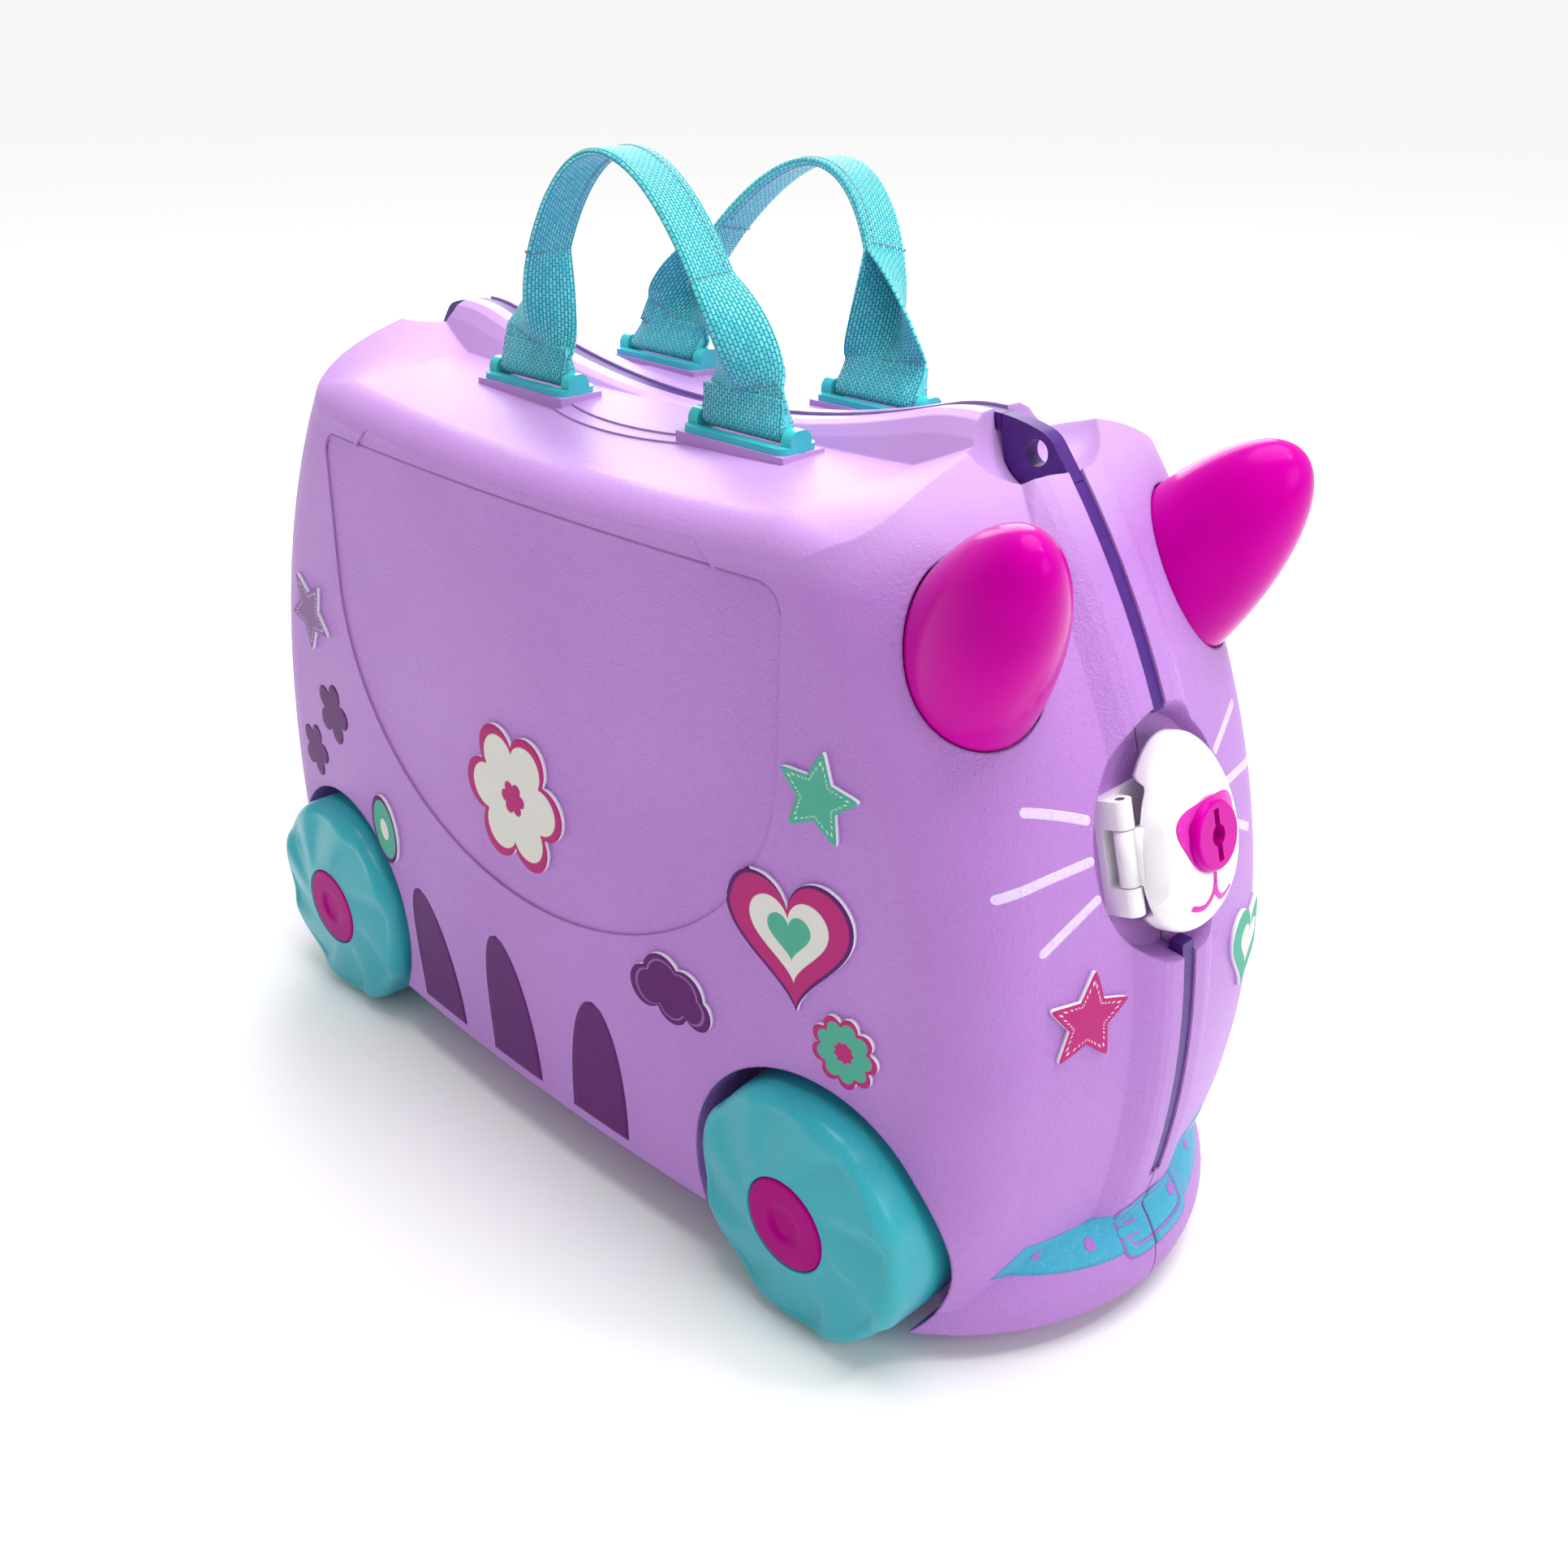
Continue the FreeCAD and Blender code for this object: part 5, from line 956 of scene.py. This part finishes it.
# Half width, top and corner radius of the side panel, and the half width of the painted shade line along its
# top
PANEL_HALF, PANEL_TOP, PANEL_CORNER, PANEL_SHADE_LINE = 126.0, 262.0, 9.0, 0.45
COLLAR_Z, COLLAR_HALF, COLLAR_REACH, COLLAR_SLANT, COLLAR_CURVE = 36.0, 6.4, 58.0, 5.0, 0.0016
COLLAR_HOLES, COLLAR_HOLE_R = (-46.0, -27.0, 17.0, 40.0), 2.1
BUCKLE_Y, BUCKLE_HALF, BUCKLE_TALL, BUCKLE_CORNER = 4.5, 19.0, 9.6, 5.0
BUCKLE_WIDE, BUCKLE_LINE, BUCKLE_EDGE = 2.9, 4.6, 0.8
PRONG_HALF, PRONG_LINE_HALF = 1.5, 2.3
PRONG = ((-15.5, COLLAR_Z + 0.5), (-5.0, COLLAR_Z - 0.4))
# Lifts of the collar's layers of ink, from the band up to the prong
LAYERS = (INK_LIFT, 0.14, 0.26, 0.38, 0.5)
SEAM_GAP = 0.5


def stripe_grid(foot_x, top_x, top_z, rows=40, columns=13):
    """Tongue that leans from its foot to its top and closes there in a long round."""
    up = np.linspace(0, 1, rows)
    half = STRIPE_HALF * np.sqrt(np.clip(1 - up ** 2.3, 0.0004, 1))
    center = foot_x + (top_x - foot_x) * up ** 1.3
    share = np.linspace(-1, 1, columns)
    x = center[:, None] + half[:, None] * share
    z = np.repeat((STRIPE_FOOT + (top_z - STRIPE_FOOT) * up)[:, None], columns, 1)
    return np.stack((x, z), -1), facing(grid_faces(rows, columns), False)


def panel_top_path():
    """Upper edge of the side panel: a straight line between two round corners."""
    turn = np.linspace(0, math.pi / 2, 16)
    u = PANEL_HALF - PANEL_CORNER + PANEL_CORNER * np.cos(turn)
    v = PANEL_TOP - PANEL_CORNER + PANEL_CORNER * np.sin(turn)
    corner = np.stack((u, v), -1)
    return np.concatenate((corner, (corner * np.array([-1, 1]))[::-1]))


def half_figure(flat, faces, sign):
    """Part of a figure on one side of the seam: points beyond the seam come back to it, lost faces go."""
    points = flat.reshape(-1, 2).copy()
    beyond = points[:, 0] * sign < SEAM_GAP
    points[beyond, 0] = sign * SEAM_GAP
    return points, faces[~beyond[faces].all(1)]


def rounded_frame(half_u, half_v, corner, count=120):
    """Closed path of a rectangle with round corners, as a superellipse."""
    turn = np.linspace(0, TAU, count, endpoint=False)
    power = 2 / corner
    c, s = np.cos(turn), np.sin(turn)
    return np.stack((half_u * np.sign(c) * np.abs(c) ** power, half_v * np.sign(s) * np.abs(s) ** power), -1)


def frame_ring(half_u, half_v, width, rows=5):
    """Flat ring inside a rounded rectangle, of an even width."""
    outer = rounded_frame(half_u, half_v, BUCKLE_CORNER)
    inner = rounded_frame(half_u - width, half_v - width, BUCKLE_CORNER)
    share = np.linspace(0, 1, rows)[:, None, None]
    return inner + (outer - inner) * share, grid_faces(rows, len(outer), wrap_columns=True)


def collar_grid(rows=97, columns=9):
    """Band along the bumper lip, bowed by the square of the way out, whose ends are cut on a slant."""
    share = np.linspace(-1, 1, rows)
    up = np.linspace(-1, 1, columns)
    y = share[:, None] * (COLLAR_REACH - COLLAR_SLANT * up[None, :])
    z = COLLAR_Z + COLLAR_HALF * up[None, :] + COLLAR_CURVE * y ** 2
    return np.stack((y, z), -1), grid_faces(rows, columns)


def build_collar():
    """Collar print on the front lip with its holes, buckle and prong, in a part for each half."""
    middle = np.array([BUCKLE_Y, COLLAR_Z])
    lined = frame_ring(BUCKLE_HALF + BUCKLE_EDGE, BUCKLE_TALL + BUCKLE_EDGE, BUCKLE_LINE)
    buckle = frame_ring(BUCKLE_HALF, BUCKLE_TALL, BUCKLE_WIDE)
    layers = (("collar_band", *collar_grid(), "collar_ink", LAYERS[0]),
              ("collar_buckle_line", lined[0] + middle, lined[1], "line_ink", LAYERS[1]),
              ("collar_buckle", buckle[0] + middle, buckle[1], "collar_ink", LAYERS[2]))
    for side, sign in SIDES:
        for name, grid, faces, finish, lift in layers:
            points, kept = half_figure(grid, faces, sign)
            lay_on("%s_%s" % (side, name), points, kept, FRONT, side, lift, THIN_INK, [finish])
    prongs = (("prong_line", PRONG_LINE_HALF, "line_ink", LAYERS[3]),
              ("prong", PRONG_HALF, "collar_ink", LAYERS[4]))
    for name, half, finish, lift in prongs:
        lay_on("collar_" + name, *stroke(PRONG, half), FRONT, RIGHT, lift, THIN_INK, [finish])
    for index, y in enumerate(COLLAR_HOLES):
        grid, faces, _ = disc_grid(flower_outline(COLLAR_HOLE_R, 2, 0.0, 40), 5)
        place = np.array([y, COLLAR_Z + COLLAR_CURVE * y * y])
        side = RIGHT if y < 0 else LEFT
        lay_on("collar_hole_%d" % index, grid + place, faces, FRONT, side, LAYERS[1], THIN_INK, ["line_ink"])


def build_prints():
    """Whiskers, painted shade lines along the panels' top edges, side stripes, small blooms and the collar."""
    for side, sign in SIDES:
        for index, (start, end, sag) in enumerate(WHISKERS):
            path = bend(start, end, sag)
            path[:, 0] *= -sign
            lay_on("%s_whisker_%d" % (side, index), *stroke(path, WHISKER_HALF), FRONT, side, INK_LIFT,
                   INK_THICK, ["pale_ink"])
        # A thin dark line laid along the panel's top edge: painted shade standing in for the shadow of its
        # moulded step
        edge = stroke(panel_top_path()[::-1], PANEL_SHADE_LINE, 3)
        lay_on(side + "_panel_top_shade_line", *edge, side, side, INK_LIFT, THIN_INK, ["edge_ink"])
        for index, stripe in enumerate(STRIPES):
            lay_on("%s_stripe_%d" % (side, index), *stripe_grid(*stripe), side, side, INK_LIFT, INK_THICK,
                   ["dark_ink"])
    for name, place, radius in SMALL_PRINTS:
        grid, faces, _ = disc_grid(flower_outline(radius, 5, 0.45), 8)
        lay_on(name, grid + np.array(place), faces, RIGHT, RIGHT, INK_LIFT, INK_THICK, ["dark_ink"])
    build_collar()


def build_stickers():
    """Foam stickers: printed faces with a white foam edge."""
    for name, finish, wall, side, place, outline in STICKERS:
        grid, faces, rim = disc_grid(outline, 14)
        lay_on(name, grid + np.array(place), faces, wall, side, INK_LIFT, FOAM_THICK, [finish, "foam"],
               ("rim", rim))


# Stage: reach of the floor in metres, and each lamp's place, width and power
FLOOR_REACH, WORLD_STRENGTH = 400.0, 0.53
LAMP_AIM = np.array([0.0, 0.0, 0.15])
LAMPS = (("top_softbox", (0.25, 0.2, 1.7), 1.3, 26.0), ("front_softbox", (1.5, 0.2, 0.9), 0.7, 5.0),
         ("back_softbox", (-1.1, 1.1, 1.0), 1.4, 20.0), ("spark", (0.75, 0.35, 1.25), 0.1, 2.0))


def pale_floor():
    """White studio floor: matt, and faintly lit from below further out, so that it stays white to its end."""
    material, tree, shader, place = new_material("white_studio_floor", "#FAFAFA", 0.9, Specular_IOR_Level=0.1)
    shader.inputs["Emission Color"].default_value = (1, 1, 1, 1)
    far = add_node(tree, "ShaderNodeVectorMath", {"operation": "LENGTH"}, {0: place})
    add_node(tree, "ShaderNodeMapRange",
             inputs={"Value": far.outputs["Value"], "From Min": 0.5, "From Max": 2.2, "To Max": 0.42},
             feeds={"Result": shader.inputs["Emission Strength"]})
    return material


def build_stage():
    """Pale floor, white surroundings and soft lights."""
    bpy.context.scene.view_settings.view_transform = "Standard"
    mesh = bpy.data.meshes.new("floor")
    corners = [(x * FLOOR_REACH, y * FLOOR_REACH, 0) for x, y in ((-1, -1), (1, -1), (1, 1), (-1, 1))]
    mesh.from_pydata(corners, [], [(0, 1, 2, 3)])
    floor = bpy.data.objects.new("floor", mesh)
    bpy.context.scene.collection.objects.link(floor)
    mesh.materials.append(pale_floor())
    world = bpy.data.worlds.new("white_room")
    world.use_nodes = True
    background = world.node_tree.nodes["Background"]
    background.inputs["Color"].default_value = (1, 1, 1, 1)
    background.inputs["Strength"].default_value = WORLD_STRENGTH
    bpy.context.scene.world = world
    for name, place, width, power in LAMPS:
        lamp = bpy.data.lights.new(name, "AREA")
        lamp.shape = "DISK"
        lamp.size = width
        lamp.energy = power
        obj = bpy.data.objects.new(name, lamp)
        obj.location = place
        aim = LAMP_AIM - np.array(place)
        obj.rotation_euler = (math.atan2(math.hypot(aim[0], aim[1]), -aim[2]), 0,
                              math.atan2(aim[1], aim[0]) - math.pi / 2)
        bpy.context.scene.collection.objects.link(obj)


# Camera fitted to the photo: place in metres, angles in degrees, and lengths in pixels of its frame
CAMERA_PLACE = (0.43407, -0.38746, 0.41528)
CAMERA_AZIMUTH, CAMERA_ELEVATION = 45.4, 26.6
FOCAL_PIXELS, FRAME_PIXELS, SENSOR, CLIP_END = 1960.0, 1932.0, 36.0, 1000.0


def build_camera():
    """Camera at the photo's place and angle."""
    lens = bpy.data.cameras.new("photo_camera")
    lens.sensor_width = SENSOR
    lens.clip_end = CLIP_END
    lens.lens = SENSOR * FOCAL_PIXELS / FRAME_PIXELS
    camera = bpy.data.objects.new("photo_camera", lens)
    camera.location = CAMERA_PLACE
    camera.rotation_euler = (math.radians(90 - CAMERA_ELEVATION), 0, math.radians(CAMERA_AZIMUTH))
    bpy.context.scene.collection.objects.link(camera)
    bpy.context.scene.camera = camera


build_camera()
build_stage()
finish_nodes()
build_wheels()
build_horns()
build_handles()
build_clasps()
build_prints()
build_stickers()
